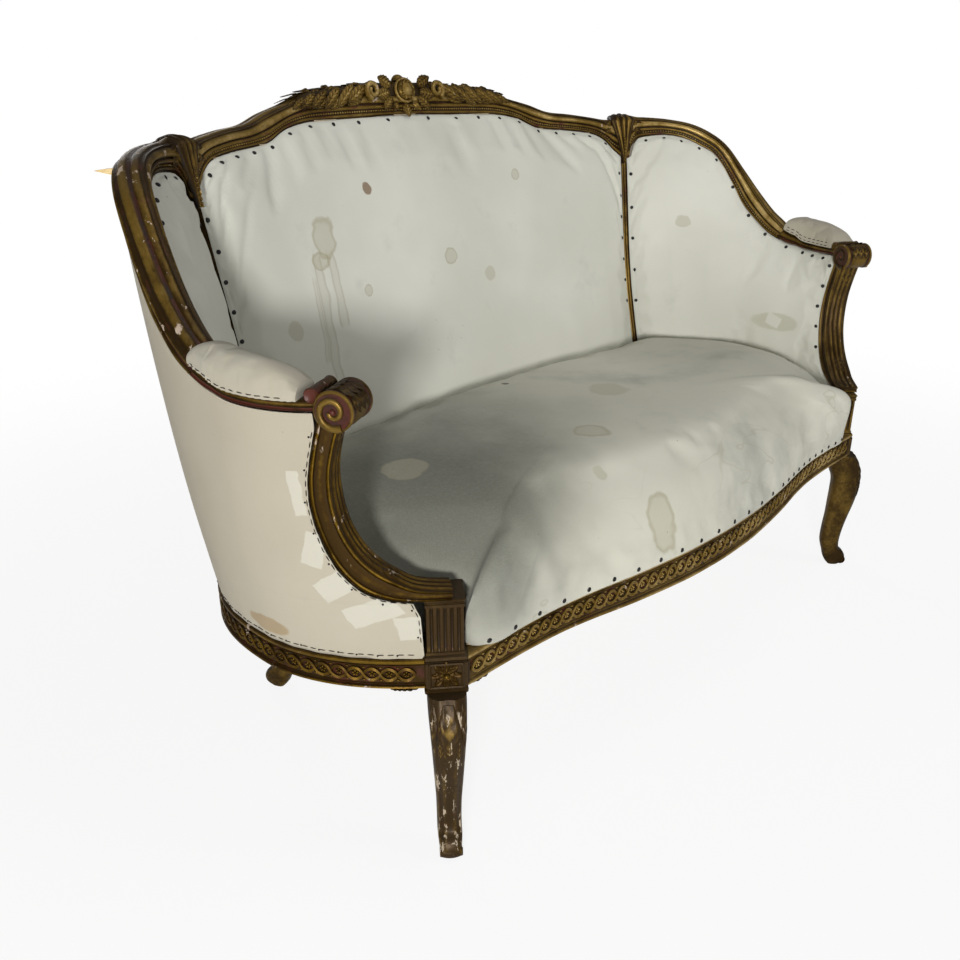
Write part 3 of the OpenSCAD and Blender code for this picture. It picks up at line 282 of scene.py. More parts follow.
def muslinFinish(name, paint, stains=(), drips=(), warmth=0.0, grime=0.0, lying=False, sootAndShadow=(), patches=()):
    f = Finish(bpy.data.materials.new(name))
    cloud, blot, fine = f.noise(3.2, 3), f.noise(13, 4, 0.55), f.noise(260, 3)
    colour = f.blend(f.ease(cloud, 0.35, 0.68), paint["cloth"], paint["light"])
    colour = f.blend(warmth + (blot - 0.5) * warmth, colour, paint["warm"])
    if grime:
        smoke = f.ease(f.noise(2.6, 4, 0.6, twist=0.8) + (blot - 0.5) * 0.35, 0.46, 0.74)
        colour = f.blend(smoke * grime, colour, paint["grey"])
        tide = f.noise(5.5, 2, 0.5, twist=1.6)
        line = 1 - f.ease(f.size(tide - 0.55), 0.0, 0.010)
        colour = f.blend(line * 0.42 * f.ease(cloud, 0.4, 0.6), colour, paint["stain"])
    # Broad dark places: grime, and on the seat also the left arm's painted shadow
    for spot, reach, strength in sootAndShadow:
        cover = 1 - f.ease(f.near(spot, reach * 0.7, 5), reach * 0.35, reach * 1.1)
        colour = f.blend(cover * strength, colour, paint["sootAndShadow"])
    colour = f.blend(f.ease(blot, 0.58, 0.80) * 0.22, colour, paint["grey"])
    for spot, reach, ragged, kind in stains:
        gap = f.near(spot, ragged, 0.55 / reach, (1, 1, 0.5) if lying else (1, 0.3, 1))
        inside = 1 - f.ease(gap, reach * 0.86, reach * 1.08)
        if kind == "ring":
            edge = inside * f.ease(gap, reach * 0.70, reach * 0.98)
            colour = f.blend(inside * 0.40, colour, paint["stain"])
            colour = f.blend(edge * 0.55, colour, paint["ring"])
        elif kind == "stain":
            colour = f.blend(inside * 0.45, colour, paint["stain"])
        else:
            colour = f.blend(inside * 0.85, colour, paint[kind])
    across, ahead, up = (f.part(k) for k in range(3))
    seam = None
    for side, middle, height, long, wide, turn in patches:
        c, s = cosSin(turn)
        y, z = ahead - middle, up - height
        gap = (f.size(y * c + z * s) - long).most(f.size(z * c - y * s) - wide)
        gap = gap + (f.noise(60, 2) - 0.5) * 0.006
        onSide = f.ease(across * side, 0.4, 0.5)
        inside = (1 - f.ease(gap, -0.0008, 0.0008)) * onSide
        colour = f.blend(inside * 0.6, colour, paint["patch"])
        seam = inside if seam is None else seam.most(inside)
    for x, reach, low, top in drips:
        lean = x + (up - top) * 0.06 + (f.noise(16, 2) - 0.5) * 0.022
        gap = f.size(across - lean)
        ends = f.ease(up, low, low + 0.01) * (1 - f.ease(up, top - 0.02, top))
        rim = f.ease(gap, reach * 0.35, reach * 0.8)
        colour = f.blend((1 - f.ease(gap, reach * 0.7, reach)) * ends * (rim * 0.30 + 0.16), colour,
                         paint["ring"])
    specks = 1 - f.ease(f.cells(52), 0.035, 0.075)
    colour = f.blend(specks * f.ease(f.noise(9, 2), 0.55, 0.68) * 0.55, colour, paint["fleck"])
    warp = f.noise(90, 2, 0.6, (14, 0.8, 14) if lying else (14, 14, 0.8))
    weft = f.noise(90, 2, 0.6, (0.8, 14, 14) if lying else (0.8, 0.8, 14))
    weave = warp + weft
    colour = f.blend(f.ease(weave, 0.8, 1.3) * 0.10, colour, paint["light"])
    height = weave * 0.30 + blot * 0.8 + fine * 0.2
    if seam is not None:
        height = height + seam * 0.6
    return f.shade({"Base Color": colour, "Roughness": 0.9 + (fine - 0.5) * 0.1,
                    "Normal": f.bump(height, 0.30, 0.0012),
                    "Specular IOR Level": 0.2, "Sheen Weight": 0.08, "Sheen Roughness": 0.5})


def woodFinish(name, pale, dark, rough=0.7):
    f = Finish(bpy.data.materials.new(name))
    grain = f.noise(22, 5, 0.6, (1, 1, 7), 0.3)
    pores = f.noise(160, 3, 0.6, (1, 1, 9))
    colour = f.blend(f.ease(grain + (pores - 0.5) * 0.3, 0.35, 0.7), dark, pale)
    return f.shade({"Base Color": colour, "Roughness": rough + (pores - 0.5) * 0.2,
                    "Normal": f.bump(grain * 0.4 + pores * 0.6, 0.25, 0.001)})


def clothFinish(name, pale, dark, threads=95, strength=0.5):
    f = Finish(bpy.data.materials.new(name))
    warp = f.noise(threads, 2, 0.6, (12, 1, 12))
    weft = f.noise(threads, 2, 0.6, (1, 12, 12))
    weave = warp + weft
    colour = f.blend(f.ease(weave + (f.noise(11, 3) - 0.5) * 0.4, 0.75, 1.25), dark, pale)
    return f.shade({"Base Color": colour, "Roughness": 0.92 + (warp - 0.5) * 0.08,
                    "Normal": f.bump(weave, strength, 0.0015), "Specular IOR Level": 0.15})


def metalFinish(name, pale, dark, metallic, rough):
    f = Finish(bpy.data.materials.new(name))
    tarnish = f.noise(140, 4, 0.6)
    colour = f.blend(f.ease(tarnish, 0.4, 0.7), dark, pale)
    return f.shade({"Base Color": colour, "Metallic": metallic, "Roughness": rough + (tarnish - 0.5) * 0.3,
                    "Normal": f.bump(tarnish, 0.2, 0.0004)})


gilt = giltFinish("wornGilding", giltPaint, 0.14, 0.0, 0.0, 0.3)
# The crest's gilding, brighter than the rest of the frame's: painted light
giltCrestLit = giltFinish("litCrestGilding", giltPaint, 0.46, 0.01, 0.02, 0.3)
# The front rail's gilding, brighter than the side rails' same band: painted light
giltBandLit = giltFinish("litBandGilding", giltPaint, 0.62, 0.03, 0.0, 0.4)
# A darker copy of the gilding for the left arm support, rosette and seat rail: painted shade
darkPaint = {**giltPaint, "gold": (0.185, 0.105, 0.006), "olive": (0.046, 0.022, 0.0015)}
giltShaded = giltFinish("shadedGilding", darkPaint, -0.03, 0.030, 0.05, 0.15)
# A brighter copy of the gilding for the right wing rail: painted light
giltLit = giltFinish("litGilding", giltPaint, 0.60, 0.0)
giltChipped = giltFinish("chippedGilding", giltPaint, 0.18, 0.06, 0.05, 0.35)
# The left front leg: more chips and bole, and a darker copy of the gilding, darkest on its block and post:
# painted shade
legPaint = {**giltPaint, "gesso": (0.43, 0.35, 0.25)}
giltShadedLeg = giltFinish("shadedLegGilding", legPaint, -0.04, 0.100, 0.10, 0.3, 0.16, 0.35, 120, 0.250)
giltRed = giltFinish("redGilding", giltPaint, 0.02, 0.02, 0.16)
wingPaint = {**muslinPaint, "patch": (0.70, 0.69, 0.62)}
seatPaint = {**muslinPaint, "warm": (0.55, 0.52, 0.37)}
agedPaint = {**muslinPaint, "cloth": (0.395, 0.365, 0.290), "light": (0.480, 0.450, 0.365),
             "warm": (0.42, 0.355, 0.25)}
backMuslin = muslinFinish("backMuslin", muslinPaint, backStains, backDrips)
wingMuslin = muslinFinish("wingMuslin", wingPaint, wingStains, warmth=0.04, patches=wingPatches)
seatMuslin = muslinFinish("seatMuslin", seatPaint, seatStains, (), 0.30, 0.70, True, seatSootAndShadow)
padMuslin = muslinFinish("padMuslin", agedPaint, warmth=0.20, grime=0.45)
outsideMuslin = muslinFinish("outsideMuslin", agedPaint, outsideStains, warmth=0.35, patches=outsidePatches)
rawWood = woodFinish("splitWood", (0.86, 0.68, 0.36), (0.62, 0.42, 0.17))
innerWood = woodFinish("sawnBeech", (0.60, 0.44, 0.27), (0.42, 0.28, 0.15))
hessianCloth = clothFinish("hessianCloth", (0.50, 0.41, 0.28), (0.27, 0.20, 0.12))
webbingCloth = clothFinish("webbingCloth", (0.56, 0.46, 0.31), (0.34, 0.26, 0.15), 60, 0.4)
springSteel = metalFinish("dullWire", (0.42, 0.41, 0.39), (0.20, 0.17, 0.14), 0.8, 0.5)
tackSteel = metalFinish("bluedTacks", (0.035, 0.034, 0.036), (0.012, 0.011, 0.011), 0.5, 0.5)
threadBlack = clothFinish("darkThread", (0.05, 0.04, 0.035), (0.02, 0.015, 0.012), 120, 0.3)
print("finishes made")


# Points and faces of one piece; high is 0 in its grooves and 1 on its ridges, bole 1 where red shows
class Shape:
    def __init__(self):
        self.points, self.faces, self.high, self.bole, self.size = [], [], [], [], 0

    def add(self, points, faces, high=0.5, bole=0.0):
        points = np.asarray(points, float).reshape(-1, 3)
        self.faces += [[i + self.size for i in face] for face in faces]
        self.points.append(points)
        self.high.append(np.broadcast_to(np.ravel(high), len(points))
                         if np.size(high) == 1 else np.ravel(high))
        self.bole.append(np.broadcast_to(np.ravel(bole), len(points))
                         if np.size(bole) == 1 else np.ravel(bole))
        self.size += len(points)

    def grid(self, rows, high=0.5, bole=0.0, around=False, ends=False):
        rows = np.asarray(rows, float)
        n, m = rows.shape[:2]
        span = m if around else m - 1
        faces = [(i * m + j, i * m + (j + 1) % m, (i + 1) * m + (j + 1) % m, (i + 1) * m + j)
                 for i in range(n - 1) for j in range(span)]
        if ends:
            faces += [tuple(range(m)), tuple((n - 1) * m + j for j in range(m))]
        self.add(rows, faces, high, bole)

    def sheet(self, top, under, high=0.5, bole=0.0):
        # A closed form between two grids of the same size
        n, m = top.shape[:2]
        a = n * m
        faces = []
        for i in range(n - 1):
            for j in range(m - 1):
                p, q, r, s = i * m + j, i * m + j + 1, (i + 1) * m + j + 1, (i + 1) * m + j
                faces += [(p, q, r, s), (a + s, a + r, a + q, a + p)]
        for i in range(n - 1):
            for j in (0, m - 1):
                p, q = i * m + j, (i + 1) * m + j
                faces.append((p, q, a + q, a + p) if j == 0 else (q, p, a + p, a + q))
        for j in range(m - 1):
            for i in (0, n - 1):
                p, q = i * m + j, i * m + j + 1
                faces.append((q, p, a + p, a + q) if i == 0 else (p, q, a + q, a + p))
        highs = high if np.size(high) == 1 else np.concatenate([np.ravel(high), np.ravel(high) * 0.4])
        self.add(np.concatenate([top.reshape(-1, 3), under.reshape(-1, 3)]), faces, highs, bole)

    def mirrored(self):
        other = Shape()
        other.points = [p * (-1, 1, 1) for p in self.points]
        other.faces = [f[::-1] for f in self.faces]
        other.high, other.bole, other.size = self.high, self.bole, self.size
        return other


def makePiece(name, shape, finish, nodes=(), sharp=42):
    mesh = bpy.data.meshes.new(name)
    mesh.from_pydata(np.concatenate(shape.points).tolist(), [], shape.faces)
    for key, values in (("high", shape.high), ("bole", shape.bole)):
        layer = mesh.attributes.new(key, "FLOAT", "POINT")
        layer.data.foreach_set("value", np.concatenate(values).astype(np.float32))
    bm = bmesh.new()
    bm.from_mesh(mesh)
    bmesh.ops.recalc_face_normals(bm, faces=bm.faces)
    for face in bm.faces:
        face.smooth = True
    limit = math.radians(sharp)
    for edge in bm.edges:
        if len(edge.link_faces) == 2 and edge.calc_face_angle(0) > limit:
            edge.smooth = False
    bm.to_mesh(mesh)
    bm.free()
    piece = bpy.data.objects.new(name, mesh)
    scene.collection.objects.link(piece)
    mesh.materials.append(finish)
    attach(piece, "root")
    if nodes:
        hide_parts(*nodes)
    return piece


def makePair(name, shape, finishes, nodes=(), sharp=42):
    # The right-hand shape and its mirror image
    right = makePiece("right" + name, shape, finishes[1], ["right_" + n for n in nodes], sharp)
    left = makePiece("left" + name, shape.mirrored(), finishes[0], ["left_" + n for n in nodes],
                     sharp)
    return left, right


# The body that every rail and panel lies on
body = {
    "halfWidth": 0.724, "flare": 0.056, "backDepth": 0.370, "rake": 0.156,
    "frontDepth": 0.398, "fullness": 2.5,
    "legHeight": 0.267, "railTop": 0.312, "capTop": 0.397, "armZ": 0.651, "crestZ": 0.974, "seatLine": 0.424,
    "originY": 0.117924, "face": 0.046, "shoulder": 0.038, "outerRebate": 0.0044,
}
railTop, capTop, armZ = body["railTop"], body["capTop"], body["armZ"]
crestZ, seatLine = body["crestZ"], body["seatLine"]
legHeight, shoulder, crestRise = body["legHeight"], body["shoulder"], crestZ - railTop
cornerTh, backLegTh, postTh = 47.5, 47, -34.9  # where back and wings meet, back legs, front corner blocks


def bodyFlat(th, z):
    # Flat point and outward normal at angle th and height z
    th, z = np.broadcast_arrays(np.radians(np.asarray(th, float)), np.asarray(z, float))
    c, s = np.cos(th), np.sin(th)
    rise = (z - railTop) / crestRise
    a, b = body["halfWidth"] + body["flare"] * rise, body["backDepth"] + body["rake"] * rise
    e = 2 / body["fullness"]
    behind = s >= 0
    x = np.where(behind, a * spow(c, e), a * c)
    y = np.where(behind, b * spow(s, e), body["frontDepth"] * s)
    nx = np.where(behind, spow(c, 2 - e) / a, c / a)
    ny = np.where(behind, spow(s, 2 - e) / b, s / body["frontDepth"])
    return np.stack([x, y - body["originY"], z], -1), unit(np.stack([nx, ny, 0 * nx], -1))


def bodyPoint(th, z, inside=0.0):
    flat, out = bodyFlat(th, z)
    return flat - np.asarray(inside)[..., None] * out


def turnOf(length, th, z, inside=0.0):
    return length / np.linalg.norm(bodyPoint(np.asarray(th) + 1, z, inside) - bodyPoint(th, z, inside),
                                   axis=-1)


def spline(rows, share):
    rows = np.asarray(rows, float)
    n = len(rows) - 1
    u = np.clip(np.atleast_1d(share), 0, 1) * n
    i = np.minimum(n - 1, np.floor(u).astype(int))
    f = (u - i)[:, None]
    a, b, c, d = rows[np.maximum(0, i - 1)], rows[i], rows[i + 1], rows[np.minimum(n, i + 2)]
    return 0.5 * (2 * b + (c - a) * f + (2 * a - 5 * b + 4 * c - d) * f * f
                  + (3 * b - a - 3 * c + d) * f ** 3)


# A rail between two edge lines: low angle, low height, high angle, high height
class Rail:
    def __init__(self, edges):
        self.edges = np.asarray(edges, float)

    def lines(self, t):
        e = spline(self.edges, t)
        low, high = bodyPoint(e[:, 0], e[:, 1]), bodyPoint(e[:, 2], e[:, 3])
        out = bodyFlat((e[:, 0] + e[:, 2]) / 2, (e[:, 1] + e[:, 3]) / 2)[1]
        return low, high, out

    def points(self, t, share, inside, extra=0.0):
        low, high, out = self.lines(t)
        share, inside, extra = (np.broadcast_to(v, len(low))[:, None] for v in (share, inside, extra))
        return low + (high - low) * share + unit(high - low) * extra - out * inside

    def sweep(self, section, count, start=0.0, end=1.0):
        t = np.linspace(start, end, count)
        low, high, out = self.lines(t)
        s = np.asarray(section, float)
        across = unit(high - low)
        return (low[:, None] + (high - low)[:, None] * s[None, :, 0, None]
                + across[:, None] * s[None, :, 1, None]
                - out[:, None] * s[None, :, 2, None])

    def spots(self, pitch, share, inside, start=0.0, end=1.0, extra=0.0):
        # Even places along the rail, each with its ways along, across and out of the face
        dense = np.linspace(start, end, 600)
        line = self.points(dense, share, inside, extra)
        length = lengthAlong(line)
        count = max(2, int(round(length[-1] / pitch)))
        t = np.interp((np.arange(count) + 0.5) / count * length[-1], length, dense)
        return self.frames(t, share, inside, extra)

    def frames(self, t, share, inside, extra=0.0):
        t = np.atleast_1d(np.asarray(t, float))
        step = 0.002
        spot = self.points(t, share, inside, extra)
        along = unit(self.points(np.clip(t + step, 0, 1), share, inside, extra)
                     - self.points(np.clip(t - step, 0, 1), share, inside, extra))
        low, high, out = self.lines(t)
        across = unit(high - low)
        across = unit(across - along * np.sum(across * along, axis=1, keepdims=True))
        return spot, along, across, unit(np.cross(along, across))


def mixZ(low, high, share):
    return low + (high - low) * share


def railFrom(shares, low, high):
    return [(r[0], mixZ(low, high, r[1]), r[2], mixZ(low, high, r[3])) for r in shares]


crestShares = [
    (90, 0.943, 90, 1.000), (85, 0.940, 85, 1.003), (79, 0.937, 80, 1.000), (75.8, 0.934, 76, 0.989),
    (72, 0.920, 73, 0.972), (68.4, 0.893, 69, 0.953), (65, 0.885, 65, 0.931), (60, 0.878, 60, 0.922),
    (55, 0.866, 55, 0.911), (52, 0.843, 51.5, 0.902), (50, 0.814, 49, 0.903), (47.45, 0.787, 47.4, 0.912),
]
wingShares = [
    (47.38, 0.565, 47.33, 0.823), (46.0, 0.580, 46.0, 0.823), (45.4, 0.640, 44.6, 0.818),
    (44.0, 0.690, 43.0, 0.813), (41.0, 0.706, 40.6, 0.811), (36.0, 0.712, 35.1, 0.799),
    (31.0, 0.690, 28.8, 0.768), (26.5, 0.643, 23.4, 0.708), (21.8, 0.576, 19.0, 0.626),
    (17.1, 0.418, 14.2, 0.471), (13.1, 0.260, 10.2, 0.340), (9.3, 0.164, 6.3, 0.223),
    (6.2, 0.096, 3.8, 0.164), (3.4, 0.056, 2.0, 0.118),
]
armShares = [
    (3.3, 0.055, 1.9, 0.116), (0.4, 0.024, -0.4, 0.082), (-4, 0.006, -4, 0.054), (-10, 0.000, -10, 0.044),
    (-16, 0.001, -16, 0.043), (-20.5, 0.006, -20.5, 0.048),
]
supportShares = [
    (-20.5, 0.965, -24.0, 0.965), (-18.8, 0.800, -22.4, 0.832), (-17.6, 0.643, -21.2, 0.690),
    (-17.4, 0.494, -21.0, 0.545), (-18.4, 0.337, -21.7, 0.404), (-20.3, 0.192, -23.5, 0.278),
    (-23.4, 0.078, -25.9, 0.188), (-27.4, 0.018, -28.9, 0.118), (-31.3, 0.004, -31.8, 0.068),
    (-36.4, 0.004, -36.6, 0.045),
]
stileShares = [(0.0, 47.0), (0.16, 47.4), (0.35, 48.2), (0.5, 48.2), (0.65, 47.8), (0.767, 47.5)]
crestHalf = railFrom(crestShares, railTop, crestZ)
crestRail = Rail(crestHalf[:0:-1] + [(180 - a, b, 180 - c, d) for a, b, c, d in crestHalf])
wingRail = Rail(railFrom(wingShares, armZ, crestZ))
armRail = Rail(railFrom(armShares, armZ, crestZ))
supportRail = Rail(railFrom(supportShares, capTop, armZ))
stileRows = []
for share, th in stileShares:
    z = mixZ(railTop, crestZ, share)
    turn = turnOf(0.0065, th, z)
    stileRows.append((th + turn, z, th - turn, z))
stileRail = Rail(stileRows)


# Moulding profiles: share across, extra across, depth inside, high, bole
def torus(first, last, rise, high=0.9, bole=0.0, steps=6, wide=0.042):
    # A round moulding between two points of a section, each a share across and a depth
    a, b = np.array([first[0] * wide, first[1]]), np.array([last[0] * wide, last[1]])
    run = b - a
    out = np.array([run[1], -run[0]]) / np.linalg.norm(run)
    rows = []
    for k in range(steps + 1):
        turn = math.pi * k / steps
        spot = a + run * (0.5 - 0.5 * math.cos(turn)) + out * rise * math.sin(turn)
        rows.append((spot[0] / wide, 0, spot[1], high * (0.35 + 0.65 * math.sin(turn)), bole))
    return rows


def roll(start, end, base, rise, high=0.9, bole=0.0, steps=6):
    return torus((start, base), (end, base), rise, high, bole, steps)


def moulded(shape, rail, profile, count, start=0.0, end=1.0):
    rows = rail.sweep([p[:3] for p in profile], count, start, end)
    high = np.tile([p[3] for p in profile], (count, 1))
    bole = np.tile([p[4] for p in profile], (count, 1))
    shape.grid(rows, high, bole, around=True, ends=True)


def place(shape, form, spot, along, across, out, size=(1, 1, 1), high=0.8, bole=0.0):
    # Puts a small form, in its own x, y, z, on a place of a rail
    points, faces = form[:2]
    highs = form[2] if len(form) > 2 else high
    local = points * size
    world = spot + local[:, :1] * along + local[:, 1:2] * across + local[:, 2:3] * out
    shape.add(world, faces, highs, bole)


def ballForm(steps=7, rings=4):
    # Half an egg that stands on a face
    rows = []
    for i in range(rings):
        lift = math.pi / 2 * i / rings
        rows += [(math.cos(lift) * math.cos(a), math.cos(lift) * math.sin(a), math.sin(lift))
                 for a in np.linspace(0, 2 * math.pi, steps, endpoint=False)]
    rows.append((0, 0, 1))
    faces = [(i * steps + j, i * steps + (j + 1) % steps, (i + 1) * steps + (j + 1) % steps,
              (i + 1) * steps + j)
             for i in range(rings - 1) for j in range(steps)]
    faces += [((rings - 1) * steps + j, (rings - 1) * steps + (j + 1) % steps, rings * steps)
              for j in range(steps)]
    faces.append(tuple(range(steps))[::-1])
    points = np.array(rows)
    return points, faces, 0.25 + 0.75 * points[:, 2]


def leafForm(lobes=4, curl=0.3, rise=0.22, steps=26, sides=7, fold=0.5, taper=0.85):
    # A carved leaf, 1 long along x and 1 wide along y, with ribs, lobes and a curled tip
    u = np.linspace(0, 1, steps)[:, None]
    v = np.linspace(-1, 1, 2 * sides + 1)[None, :]
    outline = np.sin(math.pi * np.clip(u * 0.93 + 0.05, 0, 1) ** taper) ** 0.75
    lobe = 0.80 + 0.20 * np.abs(np.cos(math.pi * lobes * u)) ** 0.6
    y = 0.5 * v * outline * lobe
    ribs = np.cos(math.pi * lobes * 2 * (u + 0.28 * np.abs(v)))
    blade = (1 - np.abs(v) ** 2.4) * outline
    vein, crease = np.exp(-(v / 0.10) ** 2), np.exp(-(v / 0.26) ** 2)
    z = rise * blade * (0.75 + 0.20 * ribs) + 0.10 * rise * vein - fold * rise * crease * blade
    z = z + curl * np.clip(u - 0.55, 0, 1) ** 1.6 + 0.02
    x = u - 0.22 * curl * np.clip(u - 0.6, 0, 1) ** 2 + 0.05 * np.abs(v) * outline * (lobe - 0.8)
    hollow = np.minimum(curl * np.clip(u - 0.62, 0, 1) ** 1.6 * 0.8, z - 0.02)
    shape = Shape()
    bright, dull = np.exp(-(v / 0.12) ** 2), np.exp(-((np.abs(v) - 0.3) / 0.12) ** 2)
    high = np.clip(0.25 + 0.75 * blade * (0.6 + 0.4 * ribs) + 0.3 * bright - 0.3 * dull, 0, 1)
    shape.sheet(np.stack([x, y, z], -1), np.stack([x, y, hollow], -1), high)
    return np.concatenate(shape.points), shape.faces, np.concatenate(shape.high)


def tube(shape, path, radius, sides=7, flat=1.0, high=0.8, bole=0.0, up=(0, 0, 1), closed=False):
    # A round ridge along a path; radius may be a row of numbers
    path = np.asarray(path, float)
    if closed:
        ahead = unit(np.roll(path, -1, axis=0) - np.roll(path, 1, axis=0))
    else:
        ahead = unit(np.gradient(path, axis=0))
    side = unit(np.cross(ahead, np.broadcast_to(up, path.shape)))
    over = np.cross(side, ahead)
    angles = np.linspace(0, 2 * math.pi, sides, endpoint=False)
    r = np.broadcast_to(radius, len(path))[:, None, None]
    rows = path[:, None] + r * (np.cos(angles)[None, :, None] * side[:, None]
                                + flat * np.sin(angles)[None, :, None] * over[:, None])
    highs = np.broadcast_to(high * (0.6 + 0.4 * np.sin(angles)), rows.shape[:2])
    if closed:
        rows, highs = np.concatenate([rows, rows[:1]]), np.concatenate([highs, highs[:1]])
    shape.grid(rows, highs, bole, around=True, ends=not closed)


bead, broadLeaf, longLeaf = ballForm(), leafForm(), leafForm(5, 0.18, 0.20, 30, 6)
smallLeaf, petal = leafForm(2, 0.15, 0.30, 14, 4), leafForm(1, 0.1, 0.3, 12, 4)


def beadRow(shape, rail, pitch, share, inside, size, start=0.0, end=1.0, bole=0.0, extra=0.0, form=bead):
    spots = rail.spots(pitch, share, inside, start, end, extra)
    for spot, along, across, out in zip(*spots):
        inward = -out if np.dot(out, spot * (1, 1, 0)) > 0 else out
        place(shape, form, spot, along, across, inward, size, bole=bole)


face = body["face"] - 0.002
railProfile = (
    torus((0.56, 0.001), (0.66, 0.0012), 0.003, 1.0, 0.1, 5)
    + [(0.69, 0, 0.0040, 0.15, 0.5), (0.77, 0, 0.0066, 0.2, 0.3), (0.82, 0, 0.0068, 0.25, 0.2)]
    + torus((0.85, 0.0075), (0.99, 0.0200), 0.0030, 0.95, 0.0, 7)
    + [(0.985, 0, 0.0215, 0.05, 1.0), (0.985, 0, 0.0240, 0.05, 1.0)]
    + torus((0.995, 0.0255), (0.985, 0.0370), 0.0028, 0.8, 0.2, 6)
    + [(0.955, 0, 0.0385, 0.15, 0.4), (0.95, 0, 0.0425, 0.35, 0.0), (0.915, 0, face * 0.985, 0.35, 0),
       (0.885, 0, face * 0.95, 0.1, 0.4)]
    + roll(0.86, 0.50, face - 0.001, 0.0048, 1.0, 0.0, 8)
    + [(0.485, 0, face - 0.003, 0.05, 0.6), (0.46, 0, face - 0.003, 0.05, 0.8)]
    + roll(0.445, 0.27, face - 0.001, 0.0034, 0.70, 0.34, 6)
    + [(0.25, 0, face - 0.0035, 0.1, 0.5), (0.12, 0, face - 0.0035, 0.1, 0.4)]
    + roll(0.11, 0.0, face - 0.003, 0.0028, 0.7, 0.36, 5)
    + [(0, 0, shoulder, 0.2, 0.3), (0, -0.012, shoulder, 0.2, 0.5),
       (0, -0.012, body["outerRebate"], 0.2, 0.5),
       (0, 0, body["outerRebate"], 0.2, 0.4)]
    + torus((0.02, 0.002), (0.20, 0.002), 0.003, 0.9, 0.1, 5)
    + [(0.24, 0, 0.003, 0.1, 0.7), (0.42, 0, 0.0035, 0.2, 0.4), (0.53, 0, 0.002, 0.1, 0.6)]
)


def railBeads(shape, rail, start=0.0, end=1.0):
    beadRow(shape, rail, 0.0058, 0.185, face - 0.0035, (0.0021, 0.0021, 0.0022), start, end, 0.2)


crest = Shape()
moulded(crest, crestRail, railProfile, 260)
railBeads(crest, crestRail, 0.02, 0.98)
makePiece("crestRail", crest, giltCrestLit, ["crest_rail"])
wing = Shape()
moulded(wing, wingRail, railProfile, 220)
railBeads(wing, wingRail, 0.12, 0.99)
makePair("WingRail", wing, (giltChipped, giltLit), ["wing_rail"])
print("crest and wing rails made")

# Arms
armProfile = (
    [(0.8, 0, 0.001, 0.5, 0), (1.0, 0, 0.004, 0.5, 0), (1, 0, face - 0.004, 0.5, 0), (0.8, 0, face, 0.6, 0.2)]
    + roll(0.74, 0.30, face - 0.001, 0.003, 0.9, 0.1, 6) + roll(0.26, 0.0, face - 0.001, 0.002, 0.5, 0.6, 5)
    + [(0, 0, 0.001, 0.2, 0.5)] + roll(0.04, 0.28, 0.001, -0.0025, 0.6, 0.6, 5)
    + roll(0.32, 0.74, 0.001, -0.0035, 1.0, 0.1, 6)
)
arm = {"scrollRadius": 0.0250, "knob": 0.0095, "scrollOver": 0.006, "scrollTh": -23.4, "turns": 1.3}
armShape = Shape()
moulded(armShape, armRail, armProfile, 70)
scrollZ = armZ + arm["scrollRadius"] * 0.15
scrollOut = np.array([*cosSin(-27), 0])
scrollAt = bodyPoint(arm["scrollTh"], scrollZ, face / 2) + scrollOut * (face / 2 + arm["scrollOver"])
scrollSide = np.array([-scrollOut[1], scrollOut[0], 0])  # level, towards the back
scrollAt = scrollAt - scrollSide * 0.004
scrollDeep = face + 2 * arm["scrollOver"]


def scrollPoint(radius, angle, depth):
    # Angle 0 points up, 90 to the front
    a = np.radians(angle)
    return (scrollAt - scrollOut * np.asarray(depth)[..., None] - scrollSide * (radius * np.sin(a))[..., None]
            + upward * (radius * np.cos(a))[..., None])


